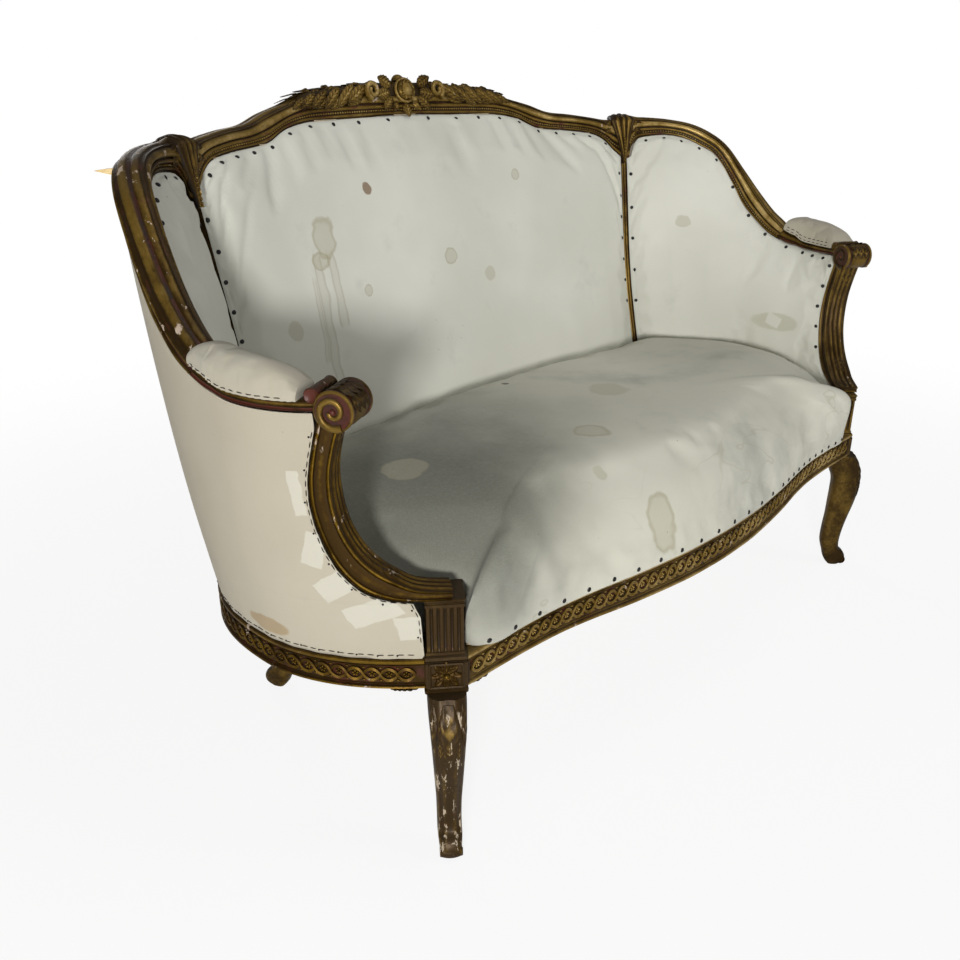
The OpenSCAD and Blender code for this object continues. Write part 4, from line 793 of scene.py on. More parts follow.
def makeScroll(shape):
    r = arm["scrollRadius"]
    angles = np.linspace(0, 360, 49)[:-1]
    # Roll with a beaded waist: depth, share of the radius
    rows = [
        (0.0, 0.35, 0.15, 0.8), (0.0, 0.80, 0.2, 0.7), (-0.0005, 0.93, 0.9, 0.1), (0.001, 1.0, 1.0, 0),
        (0.004, 1.0, 0.9, 0), (0.0065, 0.955, 0.2, 0.6), (0.009, 0.93, 0.1, 0.7), (0.012, 0.955, 0.7, 0.2),
        (0.020, 0.975, 0.8, 0), (0.029, 0.985, 0.8, 0), (0.038, 0.975, 0.8, 0), (0.046, 0.955, 0.7, 0.2),
        (0.049, 0.93, 0.1, 0.7), (0.0515, 0.955, 0.2, 0.6), (0.054, 1.0, 0.9, 0), (0.057, 1.0, 1.0, 0),
        (0.0585, 0.93, 0.9, 0.1), (0.058, 0.80, 0.2, 0.7), (0.058, 0.35, 0.15, 0.8),
    ]
    count = len(angles)
    grid = np.stack([scrollPoint(np.full(count, r * row[1]), angles, np.full(count, row[0])) for row in rows])
    high, bole = (np.repeat([row[k] for row in rows], count) for k in (2, 3))
    shape.grid(grid, high, bole, True, True)
    for depth in (-0.0005, scrollDeep + 0.0005):
        turn = np.linspace(0, 1, 110)
        radius = r * (0.84 - 0.66 * turn ** 0.9)
        path = scrollPoint(radius, 150 + 360 * arm["turns"] * turn, np.full(110, depth))
        tube(shape, path, 0.0047 * (1 - 0.42 * turn), 10, 0.8, 1.0, 0.0, scrollOut)
        eye = scrollPoint(0.0, 0.0, depth)
        outward = scrollOut if depth < 0.01 else -scrollOut
        place(shape, bead, eye, scrollSide, upward, outward, (0.0040, 0.0040, 0.003), bole=0.6)
    # A small counter scroll between the pad and the volute
    knobAt = scrollPoint(r + arm["knob"] * 0.62, -58.0, 0.0)
    turns = np.linspace(0, 2 * math.pi, 25)[:-1]
    knobRows = []
    ring = scrollSide * np.cos(turns)[:, None] + upward * np.sin(turns)[:, None]
    knobHalf = [(0.002, 0.5), (0.000, 0.85), (0.002, 1.0), (0.006, 0.92)]  # depth, share of the radius
    knobSection = knobHalf + [(scrollDeep / 2, 0.97)]
    knobSection += [(scrollDeep - deep, share) for deep, share in knobHalf[::-1]]
    for deep, share in knobSection:
        knobRows.append(knobAt - scrollOut * deep + ring * arm["knob"] * share)
    shape.grid(np.stack(knobRows), 0.6, 0.40, True, True)
    # Acanthus over the roll, from the pad to the front
    for angle in (-62, -20, 22, 62):
        out, ahead = turned(upward, -scrollSide, math.radians(angle))
        for side in (-1, 0, 1):
            spot = scrollPoint(r * 0.955, angle, scrollDeep / 2 + side * 0.0135)
            place(shape, smallLeaf, spot - ahead * 0.006, ahead, scrollOut, out, (0.021, 0.015, 0.0075),
                  bole=0.1)


makeScroll(armShape)
makePair("ArmRail", armShape, (giltRed, gilt), ["arm_rail"])

supportDeep = 0.044
# Three flutes along the support's front edge
scallops = [abs(math.sin(math.pi * k / 8)) for k in range(25)]
supportFront = [(1.0, -0.0006 + 0.0030 * scallop, 0.007 + (supportDeep - 0.013) * k / 24,
                 0.15 + 0.75 * scallop, 0.1)
                for k, scallop in enumerate(scallops)]
supportProfile = (
    [(0.985, 0, 0.003, 0.7, 0), (1.0, 0, 0.006, 0.55, 0)] + supportFront
    + [(1.0, 0, supportDeep - 0.005, 0.6, 0), (0.97, 0, supportDeep - 0.001, 0.8, 0)]
    + roll(0.95, 0.80, supportDeep - 0.002, 0.003, 1.0, 0.1, 5)
    + [(0.76, 0, supportDeep - 0.004, 0.25, 0.3), (0.5, 0, supportDeep - 0.003, 0.55, 0.1),
       (0.25, 0, supportDeep - 0.004, 0.25, 0.3)]
    + roll(0.22, 0.04, supportDeep - 0.002, 0.003, 1.0, 0.1, 5)
    + [(0, 0, supportDeep - 0.003, 0.4, 0.3), (0, 0, 0.003, 0.4, 0.3)]
    + roll(0.04, 0.20, 0.002, -0.003, 1.0, 0.1, 5)
    + [(0.24, 0, 0.004, 0.25, 0.2), (0.5, 0, 0.003, 0.62, 0), (0.78, 0, 0.004, 0.25, 0.2)]
    + roll(0.80, 0.97, 0.002, -0.003, 1.0, 0.1, 5)
)
support = Shape()
moulded(support, supportRail, supportProfile, 110)


def supportCarving(shape):
    # A leaf that hangs under the scroll and one that lies over the foot
    for start, way, length in ((0.05, -1, 0.060), (0.80, 1, 0.050)):
        out = supportRail.lines(np.array([start]))[2][0]
        spot, along, across, _ = (v[0] for v in supportRail.frames(start, 1.0, supportDeep / 2))
        place(shape, broadLeaf, spot - across * 0.001, along * -way, out, across, (length, 0.034, 0.026),
              bole=0.15)


supportCarving(support)
makePair("ArmSupport", support, (giltShaded, gilt), ["arm_support"])
print("arms made")

# Stiles between the back and the wings
stileOut = body["outerRebate"] + 0.0008
stileProfile = (
    [(0, 0, shoulder, 0.3, 0.4), (0, 0, face - 0.001, 0.6, 0.3)]
    + roll(0.0, 0.30, face - 0.001, 0.003, 1.0, 0.0, 4)
    + roll(0.34, 0.98, face - 0.002, 0.0055, 0.75, 0.25, 7)
    + [(1, 0, shoulder, 0.3, 0.4), (1, 0.012, shoulder, 0.3, 0.3), (1, 0.012, stileOut, 0.3, 0.3),
       (0, -0.012, stileOut, 0.3, 0.3), (0, -0.012, shoulder, 0.3, 0.3)]
)
stile = Shape()
moulded(stile, stileRail, stileProfile, 90)
makePair("BackStile", stile, (gilt, gilt), ["back_stile"])

# Clasp: a shell of lobes on the crest that rolls over its top and draws to a point on the stile
clasp = {"foot": 0.770, "top": 0.903, "width": 0.064, "lobes": 4, "roll": 0.0095}


def makeClasp():
    shape = Shape()
    steps, sides = 46, 26
    u = np.linspace(0, 1, steps)[:, None]
    v = np.linspace(-1, 1, 2 * sides + 1)[None, :]
    # Up the face for the first part, then over the top edge and down behind
    climb, turn = np.clip(u / 0.62, 0, 1), np.clip((u - 0.62) / 0.38, 0, 1) * math.pi * 0.86
    z = mixZ(railTop, crestZ, mixZ(clasp["foot"], clasp["top"], climb)) + clasp["roll"] * np.sin(turn) * 0.75
    inside = face + 0.0035 + 0.0035 * climb - (face * 0.5 - 0.002) * (1 - np.cos(turn)) * 0.98
    half = clasp["width"] / 2 * (0.11 + 0.89 * climb ** 1.35) * (1 - 0.10 * np.sin(turn))
    half = half * (1 - 0.30 * (turn / math.pi) ** 2)
    fan = np.abs(np.cos(math.pi * clasp["lobes"] / 2 * v)) ** 0.75
    ribs = 0.0058 * (0.25 + 0.75 * fan) * (1 - np.abs(v) ** 7) * (0.35 + 0.65 * climb)
    middle = 0.0028 * np.exp(-(v / 0.10) ** 2) * (1 - 0.5 * climb)
    lift = ribs + middle + 0.0014 * np.cos(climb * 26) * np.exp(-(v / 0.12) ** 2) * (1 - climb)
    th = cornerTh + v * turnOf(1.0, cornerTh, z) * half
    top = bodyPoint(th, z + lift * np.sin(turn), inside + lift * np.cos(turn))
    behind = np.where(turn > 0, inside - 0.004 * np.cos(turn), face - 0.002)
    under = bodyPoint(th, z - 0.006 * np.sin(turn), behind)
    high = np.clip(0.10 + 0.85 * fan * (1 - np.abs(v) ** 6) - 0.25 * np.sin(turn), 0, 1)
    shape.sheet(top, under, high, 0.0)
    for k in range(8):
        height = mixZ(railTop, crestZ, mixZ(clasp["foot"], clasp["top"], 0.06 + 0.075 * k))
        out = bodyFlat(cornerTh, height)[1]
        spot = bodyPoint(cornerTh, height, face + 0.0065 + 0.003 * k / 8)
        place(shape, bead, spot, upward, np.cross(out, upward), -out, (0.0034, 0.0030, 0.0030))
    # A curled leaf at each side of the shell, along the rails
    for side in (-1, 1):
        for k, (gap, rise, size) in enumerate(((0.020, 0.000, 0.030), (0.026, -0.012, 0.024))):
            height = 0.905 + rise
            around = cornerTh + side * float(turnOf(gap, cornerTh, height))
            out = bodyFlat(around, height)[1]
            level = np.cross(upward, out) * side
            ahead = unit(level - upward * (0.10 + 0.25 * k) - out * 0.06)
            spot = bodyPoint(around, height, face + 0.001)
            place(shape, smallLeaf, spot, ahead, unit(np.cross(-out, ahead)), -out, (size, 0.016, 0.014))
    return shape


makePair("CrestClasp", makeClasp(), (gilt, gilt), ["crest_clasp"])
print("stiles and clasps made")

# Carving over the middle of the crest
carving = {"reach": 0.19065, "low": 0.003, "rise": 0.014, "sink": 0.007, "sinkFrom": 0.78}


def crestFrame(x, up, depth):
    # Place by distance from the middle along the crest, height over its upper edge and depth
    t = 0.5 - x / crestLength
    spot, along, across, out = crestRail.frames(np.array([t]), 1.0, depth, up)
    return spot[0], -along[0], across[0], -out[0] if out[0][1] > 0 else out[0]


crestLine = crestRail.points(np.linspace(0, 1, 400), 1.0, face)
crestLength = lengthAlong(crestLine)[-1]


def carved(shape, form, x, up, depth, angle, size, lean=0.0, bole=0.0):
    spot, along, across, out = crestFrame(x, up, depth)
    ahead, side = turned(along, across, math.radians(angle))
    if lean:
        ahead, out = unit(ahead + out * lean), unit(out - ahead * lean)
    place(shape, form, spot, ahead, side, out, size, bole=bole)


carvingShares = [(0, 1), (0.12, 0.9), (0.28, 0.42), (0.45, 0.30), (0.58, 0.34), (0.75, 0.18), (0.9, 0.08),
                 (1, 0.02)]
# Leaves: distance from the middle, height over the crest's edge, heading, length, width, how far proud
faceLeaves = [
    (0.012, 0.013, 24, 0.034, 0.024, 0.006), (0.014, 0.000, -14, 0.036, 0.024, 0.005),
    (0.012, -0.010, -42, 0.034, 0.020, 0.004), (0.044, 0.010, -30, 0.058, 0.023, 0.005),
    (0.062, 0.012, -38, 0.062, 0.021, 0.004), (0.084, 0.008, -36, 0.058, 0.020, 0.003),
    (0.106, 0.005, -30, 0.054, 0.018, 0.002), (0.128, 0.002, -24, 0.048, 0.017, 0.001),
    (0.150, -0.001, -16, 0.042, 0.014, 0.000), (0.050, -0.010, -20, 0.044, 0.017, 0.002),
    (0.076, -0.012, -26, 0.042, 0.016, 0.001), (0.100, -0.013, -20, 0.040, 0.014, 0.000),
]
topLeaves = [
    (0.020, 0.005, 8, 0.042, 0.020), (0.046, 0.001, -2, 0.044, 0.018), (0.074, 0.001, 4, 0.044, 0.017),
    (0.104, 0.002, -4, 0.042, 0.016), (0.134, -0.001, -5, 0.038, 0.013), (0.160, -0.003, -4, 0.032, 0.010),
]
# The ground's section: share of its rise, or a drop below the edge, depth, high
groundSection = [
    (-0.006, 0.010, 0), (0.55, 0.012, 0.2), (0.92, 0.019, 0.5), (1.0, 0.030, 0.5), (0.85, 0.041, 0.3),
    (0.4, 0.0475, 0.2), (-0.35, 0.0485, 0.1), (-0.45, 0.046, 0),
]


def heading(angle, side):
    return angle if side > 0 else 180 - angle


def groundRise(share):
    # Height of the carving's ground, and how far its ends sink, by share of its reach
    rise = carving["low"] + carving["rise"] * ramp(carvingShares, share)
    past = (share - carving["sinkFrom"]) / (1 - carving["sinkFrom"])
    return rise, carving["sink"] * np.clip(past, 0, 1) ** 1.5


def makeCarving():
    shape = Shape()
    # Ground that follows the crest's upper edge
    spread = np.linspace(-1, 1, 90)
    low, high, out = crestRail.lines(0.5 - spread * carving["reach"] / crestLength)
    up = unit(high - low)
    rise, sunk = (v[:, None] for v in groundRise(np.abs(spread)))
    rows = np.stack([high + up * ((rise * s if abs(s) > 0.1 else s) - sunk) - out * d
                     for s, d, _ in groundSection], 1)
    shape.grid(rows, np.tile([h for *_, h in groundSection], (90, 1)), 0.25, True, True)
    for side in (-1, 1):
        for x, up, angle, length, width, proud in faceLeaves:
            depth = face + 0.0015 + proud
            carved(shape, longLeaf, side * x, up * 0.9, depth, heading(angle, side), (length, width, 0.021),
                   0.06)
        for x, up, angle, length, width in topLeaves:
            carved(shape, broadLeaf, side * x, up, face * 0.86, heading(angle, side), (length, width, 0.015),
                   0.05)
            # Two leaves that lie on the carving's top
            for deep, further in ((0.34, 0.008), (0.70, -0.004)):
                lift, drop = groundRise(abs(x + further) / carving["reach"])
                spot, along, across, out = crestFrame(side * (x + further), lift * 0.86 - drop, face * deep)
                level = np.cross(across, along * side)
                place(shape, broadLeaf, spot, along * side, level, across, (length, 0.019, 0.009))
        # Curled leaf tips that break the outline
        for x, up, angle in ((0.040, 0.001, 34), (0.086, 0.000, 26), (0.122, 0.000, 20)):
            carved(shape, smallLeaf, side * x, up, face * 0.70, heading(angle, side), (0.024, 0.017, 0.014))
        # C-scroll beside the cabochon
        turn = np.linspace(0, 1, 46)
        radius = 0.0155 * (1 - 0.66 * turn)
        spot, along, across, out = crestFrame(side * 0.0360, 0.002, face + 0.008)
        path = [spot + along * (side * r * math.cos(a)) + across * (r * math.sin(a)) + out * 0.002
                for r, a in zip(radius, np.radians(-70 + 470 * turn))]
        tube(shape, path, 0.0058 * (1 - 0.4 * turn), 8, 1.0, 1.0, 0.0, out)
    # Bud on top in four small leaves, cabochon in its ring, and the leaf that hangs under it
    spot, along, across, out = crestFrame(0.0, 0.0195, face * 0.78)
    place(shape, ballForm(16, 8), spot, along, out, across, (0.0125, 0.0125, 0.0115))
    for k in range(6):
        away = turned(along, out, math.radians(60 * k))[0]
        lean = unit(across * 0.75 + away * 0.66)
        foot = spot - across * 0.013 + away * 0.008
        place(shape, smallLeaf, foot, lean, unit(np.cross(away, lean)), away, (0.020, 0.015, 0.008))
    spot, along, across, out = crestFrame(0.0, 0.003, face + 0.006)
    place(shape, ballForm(24, 10), spot, along, across, out, (0.0185, 0.0175, 0.0130), bole=0.1)
    for k in range(10):
        away, level = turned(along, across, 2 * math.pi * k / 10)
        place(shape, petal, spot + away * 0.004 + out * 0.008, away, level, out, (0.015, 0.0105, 0.012),
              bole=0.05)
    ring = [spot + along * 0.0225 * math.cos(a) + across * 0.0205 * math.sin(a) + out * 0.001
            for a in np.linspace(0, 2 * math.pi, 36, endpoint=False)]
    tube(shape, ring, 0.0028, 7, 1.0, 1.0, 0.0, out, True)
    carved(shape, broadLeaf, 0.0, -0.020, face + 0.004, -90, (0.026, 0.022, 0.016), 0.1)
    for side in (-1, 1):
        carved(shape, smallLeaf, side * 0.006, -0.018, face + 0.004, -90 + side * 42, (0.022, 0.014, 0.013),
               0.1)
    return shape


makePiece("crestCarving", makeCarving(), giltCrestLit, ["crest_carving"])
print("crest carving made")

# Corner posts and legs
post = {"block": 0.058, "post": 0.048, "capHeight": 0.008, "capOver": 0.003, "turn": -50, "footOut": 0.0395,
        "knee": 0.052, "kneeOut": 0.026, "blockLow": 0.2558, "blockHigh": 0.3148}
postWay = np.array([*cosSin(post["turn"]), 0])
postSide = np.array([-postWay[1], postWay[0], 0])
postCentre = bodyPoint(postTh, railTop, -0.0004) * (1, 1, 0) - postWay * post["block"] / 2
legShares = [
    (0.000, 0.30, -0.55, 0.45), (0.030, 0.75, -0.80, 0.56), (0.075, 0.80, -1.00, 0.62),
    (0.120, 0.55, -1.12, 0.66), (0.150, 0.20, -1.22, 0.66), (0.220, 0.12, -1.38, 0.66),
    (0.330, 0.25, -1.36, 0.68), (0.450, 0.50, -1.26, 0.74), (0.570, 0.80, -1.22, 0.80),
    (0.680, 0.98, -1.18, 0.86), (0.780, 1.00, -1.20, 0.92), (0.860, 0.90, -1.50, 0.97),
    (0.940, 0.62, -1.72, 1.00), (1.000, 0.30, -1.72, 1.00),
]
# Leaves over the knee: angle round the leg, slant, length, width as an angle, thickness
kneeLeaves = [(0, 0, 0.078, 46, 0.015), (-42, -14, 0.062, 40, 0.011), (42, 14, 0.062, 40, 0.011)]


def pointOf(centre, way, side):
    # Points by distance out, distance sideways and height, from the middle of a post
    def point(out, across, z):
        out, across, z = np.broadcast_arrays(out, across, z)
        return centre + out[..., None] * way + across[..., None] * side + z[..., None] * upward
    return point


postPoint = pointOf(postCentre, postWay, postSide)
legLine = spline(legShares, np.linspace(0, 1, 200))


def legSizes(z, footOut):
    # Middle, half depth and width of a leg at a height
    share = z / (post["blockLow"] + 0.005)
    outer, inner, wide = (np.interp(share, legLine[:, 0], legLine[:, k]) for k in (1, 2, 3))
    outer, inner = footOut + outer * post["kneeOut"], footOut + inner * post["kneeOut"]
    return (outer + inner) / 2, (outer - inner) / 2, wide * post["knee"]


def makeLeg(shape, footOut, at=postPoint, carvedLeaf=True):
    # Cabriole leg with ribs down its front
    rows, highs = [], []
    heights = np.concatenate([np.linspace(0, 0.04, 14), np.linspace(0.045, post["blockLow"] + 0.004, 46)])
    for z in heights:
        middle, reach, wide = legSizes(z, footOut)
        ring, ringHigh = [], []
        for k in range(40):
            a = 2 * math.pi * k / 40
            x, y = spow(math.cos(a), 0.62), spow(math.sin(a), 0.62)
            groove = 0.0
            if x > 0.2 and 0.03 < z:
                groove = 0.0016 * max(0, math.cos(y * math.pi * 3.0)) * min(1, (x - 0.2) * 2)
            ring.append((middle + x * reach - groove, y * wide / 2, z))
            ringHigh.append(0.75 - groove * 380)
        rows.append(at(*np.transpose(ring)))
        highs.append(ringHigh)
    shape.grid(np.array(rows), np.array(highs), 0.15, True, True)
    if carvedLeaf:
        kneeAndToe(shape, footOut, at)


def kneeAndToe(shape, footOut, at):
    # Acanthus over the knee: a middle leaf and one at each side, laid on the leg
    low = post["blockLow"]

    def onLeg(z, around, lift):
        middle, reach, wide = legSizes(z, footOut)
        turn = np.clip(around, -85, 85) * math.pi / 180
        return at(middle + spow(np.cos(turn), 0.62) * (reach + lift),
                  spow(np.sin(turn), 0.62) * (wide / 2 + lift), z)
    for middle, slant, length, width, thick in kneeLeaves:
        points, faces, high = broadLeaf
        x, y, z = points.T
        shape.add(onLeg(low - 0.001 - x * length, middle + slant * x + y * width, (z - 0.05) * thick), faces,
                  high)
        points, faces, high = longLeaf
        x, y, z = points.T
        around, lift = middle * 0.5 + y * width * 0.6, (z - 0.05) * thick * 0.8
        shape.add(onLeg(low - 0.046 - x * length * 0.7, around, lift), faces, high)
    # Toe rolled over at the front, with a spiral at each end
    toeOut, toeHigh, toeHalf = footOut + 0.0110, 0.0122, post["knee"] * 0.27
    across = np.linspace(-toeHalf, toeHalf, 9)
    tube(shape, at(toeOut, across, toeHigh), 0.0112 - 22 * across ** 2 * 0.6, 18, 1, 0.8, 0.1, upward)
    turn = np.linspace(0, 1, 26)
    radius, angle = 0.0088 * (1 - 0.75 * turn), np.radians(60 - 430 * turn)
    for side in (-1, 1):
        spiral = at(toeOut + radius * np.cos(angle), side * (toeHalf + 0.0004),
                    toeHigh + radius * np.sin(angle))
        tube(shape, spiral, 0.0018 * (1 - 0.3 * turn), 6, 1, 1.0, 0, postSide)


def boxRings(shape, rings, at=postPoint, high=0.6, bole=0.1):
    # Stack of squares: height, half width; chamfered corners
    rows, highs = [], []
    for row in rings:
        z, h = row[:2]
        c = h - 0.0016
        square = [(h, -c), (h, c), (c, h), (-c, h), (-h, c), (-h, -c), (-c, -h), (c, -h)]
        rows.append(at([p[0] for p in square], [p[1] for p in square], z))
        highs.append([row[2] if len(row) > 2 else high] * 8)
    shape.grid(np.array(rows), np.array(highs), bole, True, True)


def makePost(shape):
    b, low, high = post["block"] / 2, post["blockLow"], post["blockHigh"]
    edge = [(0, 0.003, 0.3), (0.002, 0.0005, 0.8), (0.006, 0, 0.9), (0.008, 0.002, 0.3), (0.0095, 0.003, 0.2),
            (0.0115, 0.0005, 0.7)]  # distance from the end, how far in, high
    boxRings(shape, [(low + z, b - cut, h) for z, cut, h in edge]
             + [(high - z, b - cut, h) for z, cut, h in edge[::-1]])
    # Sunk square frame round the rosette, on the outer face and the two sides
    corners = [(0.0215 * (c - s), 0.0215 * (s + c)) for c, s in (cosSin(90 * k) for k in range(5))]
    for turn in (0, 90, -90):
        c, s = cosSin(turn)
        for first, last in zip(corners, corners[1:]):
            side, up = np.linspace(first, last, 8).T
            strip = postPoint(b * c - side * s, b * s + side * c, (low + high) / 2 + up * 0.82)
            tube(shape, strip, 0.0024, 6, 0.8, 0.9, 0.1, (0.3, 0.2, 0.9))
    # Fluted post
    p, top = post["post"] / 2, capTop - post["capHeight"]
    rows, highs = [], []
    steps = [high - 0.004, high + 0.004, high + 0.0042, high + 0.009, top - 0.009, top - 0.0042, top - 0.004,
             top]
    for i, z in enumerate(steps):
        fluted = 1.0 if 3 <= i <= 4 else 0.0
        grow = 0.0015 if i < 2 or i > 5 else 0
        ring, ringHigh = [], []
        for c, s in (cosSin(90 * side) for side in range(4)):
            for k in range(48):
                v = -1 + 2 * k / 48
                flute = max(0.0, math.cos(v * math.pi * 5.5)) ** 0.6 * (abs(v) < 0.93)
                x, y = p + grow - 0.0034 * flute * fluted, v * (p + grow)
                ring.append((x * c - y * s, x * s + y * c, z))
                ringHigh.append(0.8 - 0.75 * flute * fluted)
        rows.append(postPoint(*np.transpose(ring)))
        highs.append(ringHigh)
    shape.grid(np.array(rows), np.array(highs), 0.15, True, True)
    c = p + post["capOver"]
    boxRings(shape, [(top - 0.0005, p, 0.4), (top + 0.0008, p + 0.0015, 0.8), (top + 0.0022, c - 0.001, 0.9),
                     (top + 0.0035, c - 0.0018, 0.3), (top + 0.0045, c - 0.0005, 0.7), (top + 0.0065, c, 0.9),
                     (capTop - 0.0004, c - 0.0008, 0.7)])


def makeRosette():
    shape = Shape()
    mid = (post["blockLow"] + post["blockHigh"]) / 2
    out = post["block"] / 2 - 0.0008
    spot = postPoint(out, 0, mid)
    for ring, count, length, width, lift in ((0, 8, 0.0185, 0.0115, 0.013), (22.5, 8, 0.0115, 0.0080, 0.016)):
        for k in range(count):
            ahead, level = turned(postSide, upward, math.radians(ring + 360 / count * k))
            place(shape, petal, spot + ahead * 0.0035, ahead, level, postWay, (length, width, lift))
    place(shape, ballForm(12, 5), spot, postSide, upward, postWay, (0.0042, 0.0042, 0.0062))
    return shape


frontLeg = Shape()
makeLeg(frontLeg, post["footOut"])
makePost(frontLeg)
makePiece("frontRightLeg", frontLeg, gilt, ["front_right_leg"])
makePiece("frontLeftLeg", frontLeg.mirrored(), giltShadedLeg, ["front_left_leg"])
makePair("Rosette", makeRosette(), (giltShaded, gilt), ["rosette"])

backHalf = 0.023
backWay = bodyFlat(backLegTh, railTop)[1]
backCentre = bodyPoint(backLegTh, railTop, backHalf) * (1, 1, 0)
backPoint = pointOf(backCentre, backWay, np.array([-backWay[1], backWay[0], 0]))
backLeg = Shape()
makeLeg(backLeg, 0.012, backPoint, False)
boxRings(backLeg, [(post["blockLow"], backHalf - 0.0005), (post["blockLow"] + 0.001, backHalf),
                   (railTop - 0.001, backHalf), (railTop, backHalf - 0.0005)], backPoint)
makePiece("backRightLeg", backLeg, gilt, ["back_right_leg"])
makePiece("backLeftLeg", backLeg.mirrored(), gilt, ["back_left_leg"])
print("legs made")

# Seat rails with an interlaced band
frontShares = [(0, 1), (0.17, 0.93), (0.30, 0.75), (0.42, 0.55), (0.55, 0.25), (0.66, 0.07), (0.80, 0),
               (1, 0)]
frontHalf = postCentre[0]
frontEndY = postCentre[1] - post["block"] * 0.62
band = {"pitch": 0.0225, "amplitude": 0.0088, "ribbon": 0.0024, "petals": 5, "middle": 0.495, "thick": 0.032}


def frontY(x):
    rows = np.array(frontShares)
    share = np.clip(np.abs(x) / frontHalf, 0, 1)
    # Rounded version of the straight steps between the shares
    around = sum(np.interp(np.abs(share + d), rows[:, 0], rows[:, 1])
                 for d in (-0.04, -0.02, 0, 0.02, 0.04)) / 5
    return frontEndY - 0.045 * around


def frontLow(x):
    return legHeight - 0.004 - 0.012 * np.cos(np.pi / 2 * np.clip(np.abs(x) / frontHalf, 0, 1)) ** 2


# Rail section over its height: share of the height, how far proud, high, bole
bandProfile = [
    (0.0, -0.004, 0.3, 0.3), (0.01, -0.0015, 0.7, 0.1), (0.05, 0.0012, 1.0, 0), (0.10, 0.0005, 0.8, 0.1),
    (0.135, -0.003, 0.1, 0.5), (0.16, -0.003, 0.1, 0.5), (0.175, -0.0012, 0.7, 0.1),
    (0.20, -0.0030, 0.25, 0.4),
    (0.5, -0.0034, 0.2, 0.5), (0.77, -0.0030, 0.25, 0.4), (0.79, -0.0012, 0.7, 0.1), (0.81, -0.003, 0.1, 0.4),
    (0.835, -0.003, 0.1, 0.4), (0.86, 0.0004, 0.8, 0.1), (0.90, 0.0012, 1.0, 0), (0.955, 0.0010, 0.9, 0),
    (0.99, -0.0012, 0.6, 0), (1.0, -0.0042, 0.5, 0),
]


class Band:
    # A rail's outer face by length along it and share of its height
    def __init__(self, line, lows, highs, outs):
        self.line, self.lows, self.highs, self.outs = line, lows, highs, outs
        self.length = lengthAlong(line)

    def at(self, run, share, proud):
        run, share, proud = np.broadcast_arrays(run, share, proud)
        spot = np.stack([np.interp(run, self.length, self.line[:, k]) for k in (0, 1)], -1)
        out = unit(np.stack([np.interp(run, self.length, self.outs[:, k]) for k in (0, 1)], -1))
        low, high = (np.interp(run, self.length, edge) for edge in (self.lows, self.highs))
        z = low * (1 - share) + high * share
        flat = spot + out * proud[..., None]
        return np.concatenate([flat, z[..., None]], -1), np.concatenate([out, 0 * out[..., :1]], -1)


def bandRail(shape, b, thick, count, start, end, skews=(0, 0)):
    # The ends are cut on the skew where they meet a turned block
    section = np.array(bandProfile + [(1.0, -thick, 0.4, 0.1), (0.02, -thick, 0.4, 0.1)])
    way = np.linspace(0, 1, count)
    rows = np.stack([b.at((start - proud * skews[0]) * (1 - way) + (end + proud * skews[1]) * way, share,
                          proud)[0]
                     for share, proud in section[:, :2]], 1)
    shape.grid(rows, np.tile(section[:, 2], (count, 1)), np.tile(section[:, 3], (count, 1)), True, True)


def bandCarving(shape, b, start, end):
    pitch, amplitude = band["pitch"], band["amplitude"]
    count = int((end - start) / pitch)
    first = (start + end - count * pitch) / 2
    height = 0.047
    runs = np.linspace(first, first + count * pitch, count * 12 + 1)
    phase = (runs - first) / pitch * math.pi
    for way in (1, -1):
        over = -0.0022 + 0.0008 * way * np.cos(phase)
        for shift in (-0.0011, 0.0011):
            share = band["middle"] + (way * amplitude * spow(np.sin(phase), 0.72) + shift) / height
            strand, outs = b.at(runs, share, over + 0.0012)
            tube(shape, strand, band["ribbon"] * 0.62, 5, 1.0, 0.9, 0.05, outs)
    for k in range(count):
        middle = first + (k + 0.5) * pitch
        spot, out = b.at(middle, band["middle"], -0.0030)
        ahead = unit(b.at(middle + 0.002, band["middle"], -0.003)[0] - spot)
        for j in range(band["petals"]):
            away, level = turned(ahead, upward, 2 * math.pi * j / band["petals"] + math.pi / 2)
            place(shape, bead, spot + away * 0.0031, away, level, out, (0.0024, 0.0017, 0.0026), bole=0.1)
        place(shape, bead, spot, ahead, upward, out, (0.0013, 0.0013, 0.0038))
        for way in (-1, 1):
            spot, out = b.at(middle + pitch / 2, band["middle"] + way * 0.21, -0.0030)
            place(shape, bead, spot, ahead, upward, out, (0.0028, 0.0015, 0.0018), bole=0.3)


frontXs = np.linspace(-frontHalf, frontHalf, 241)
frontLine = np.stack([frontXs, frontY(frontXs)], 1)
slope = np.gradient(frontLine, axis=0)
frontOuts = unit(np.stack([slope[:, 1], -slope[:, 0]], 1))
frontBand = Band(frontLine, frontLow(frontXs), np.full(241, railTop), frontOuts)
frontRail = Shape()
inset = 0.0078
bandRail(frontRail, frontBand, band["thick"], 220, inset, frontBand.length[-1] - inset, (0.84, 0.84))
bandCarving(frontRail, frontBand, inset + 0.006, frontBand.length[-1] - inset - 0.006)


def sideBand(low, high, count=160):
    th = np.linspace(low, high, count)
    flat, out = bodyFlat(th, railTop)
    return Band(flat[:, :2], np.full(count, legHeight), np.full(count, railTop), out[:, :2])


rightBand = sideBand(-31.75, backLegTh)
rightRail = Shape()
bandRail(rightRail, rightBand, band["thick"], 150, 0.0, rightBand.length[-1] - 0.002)
bandCarving(rightRail, rightBand, 0.006, rightBand.length[-1] - 0.01)


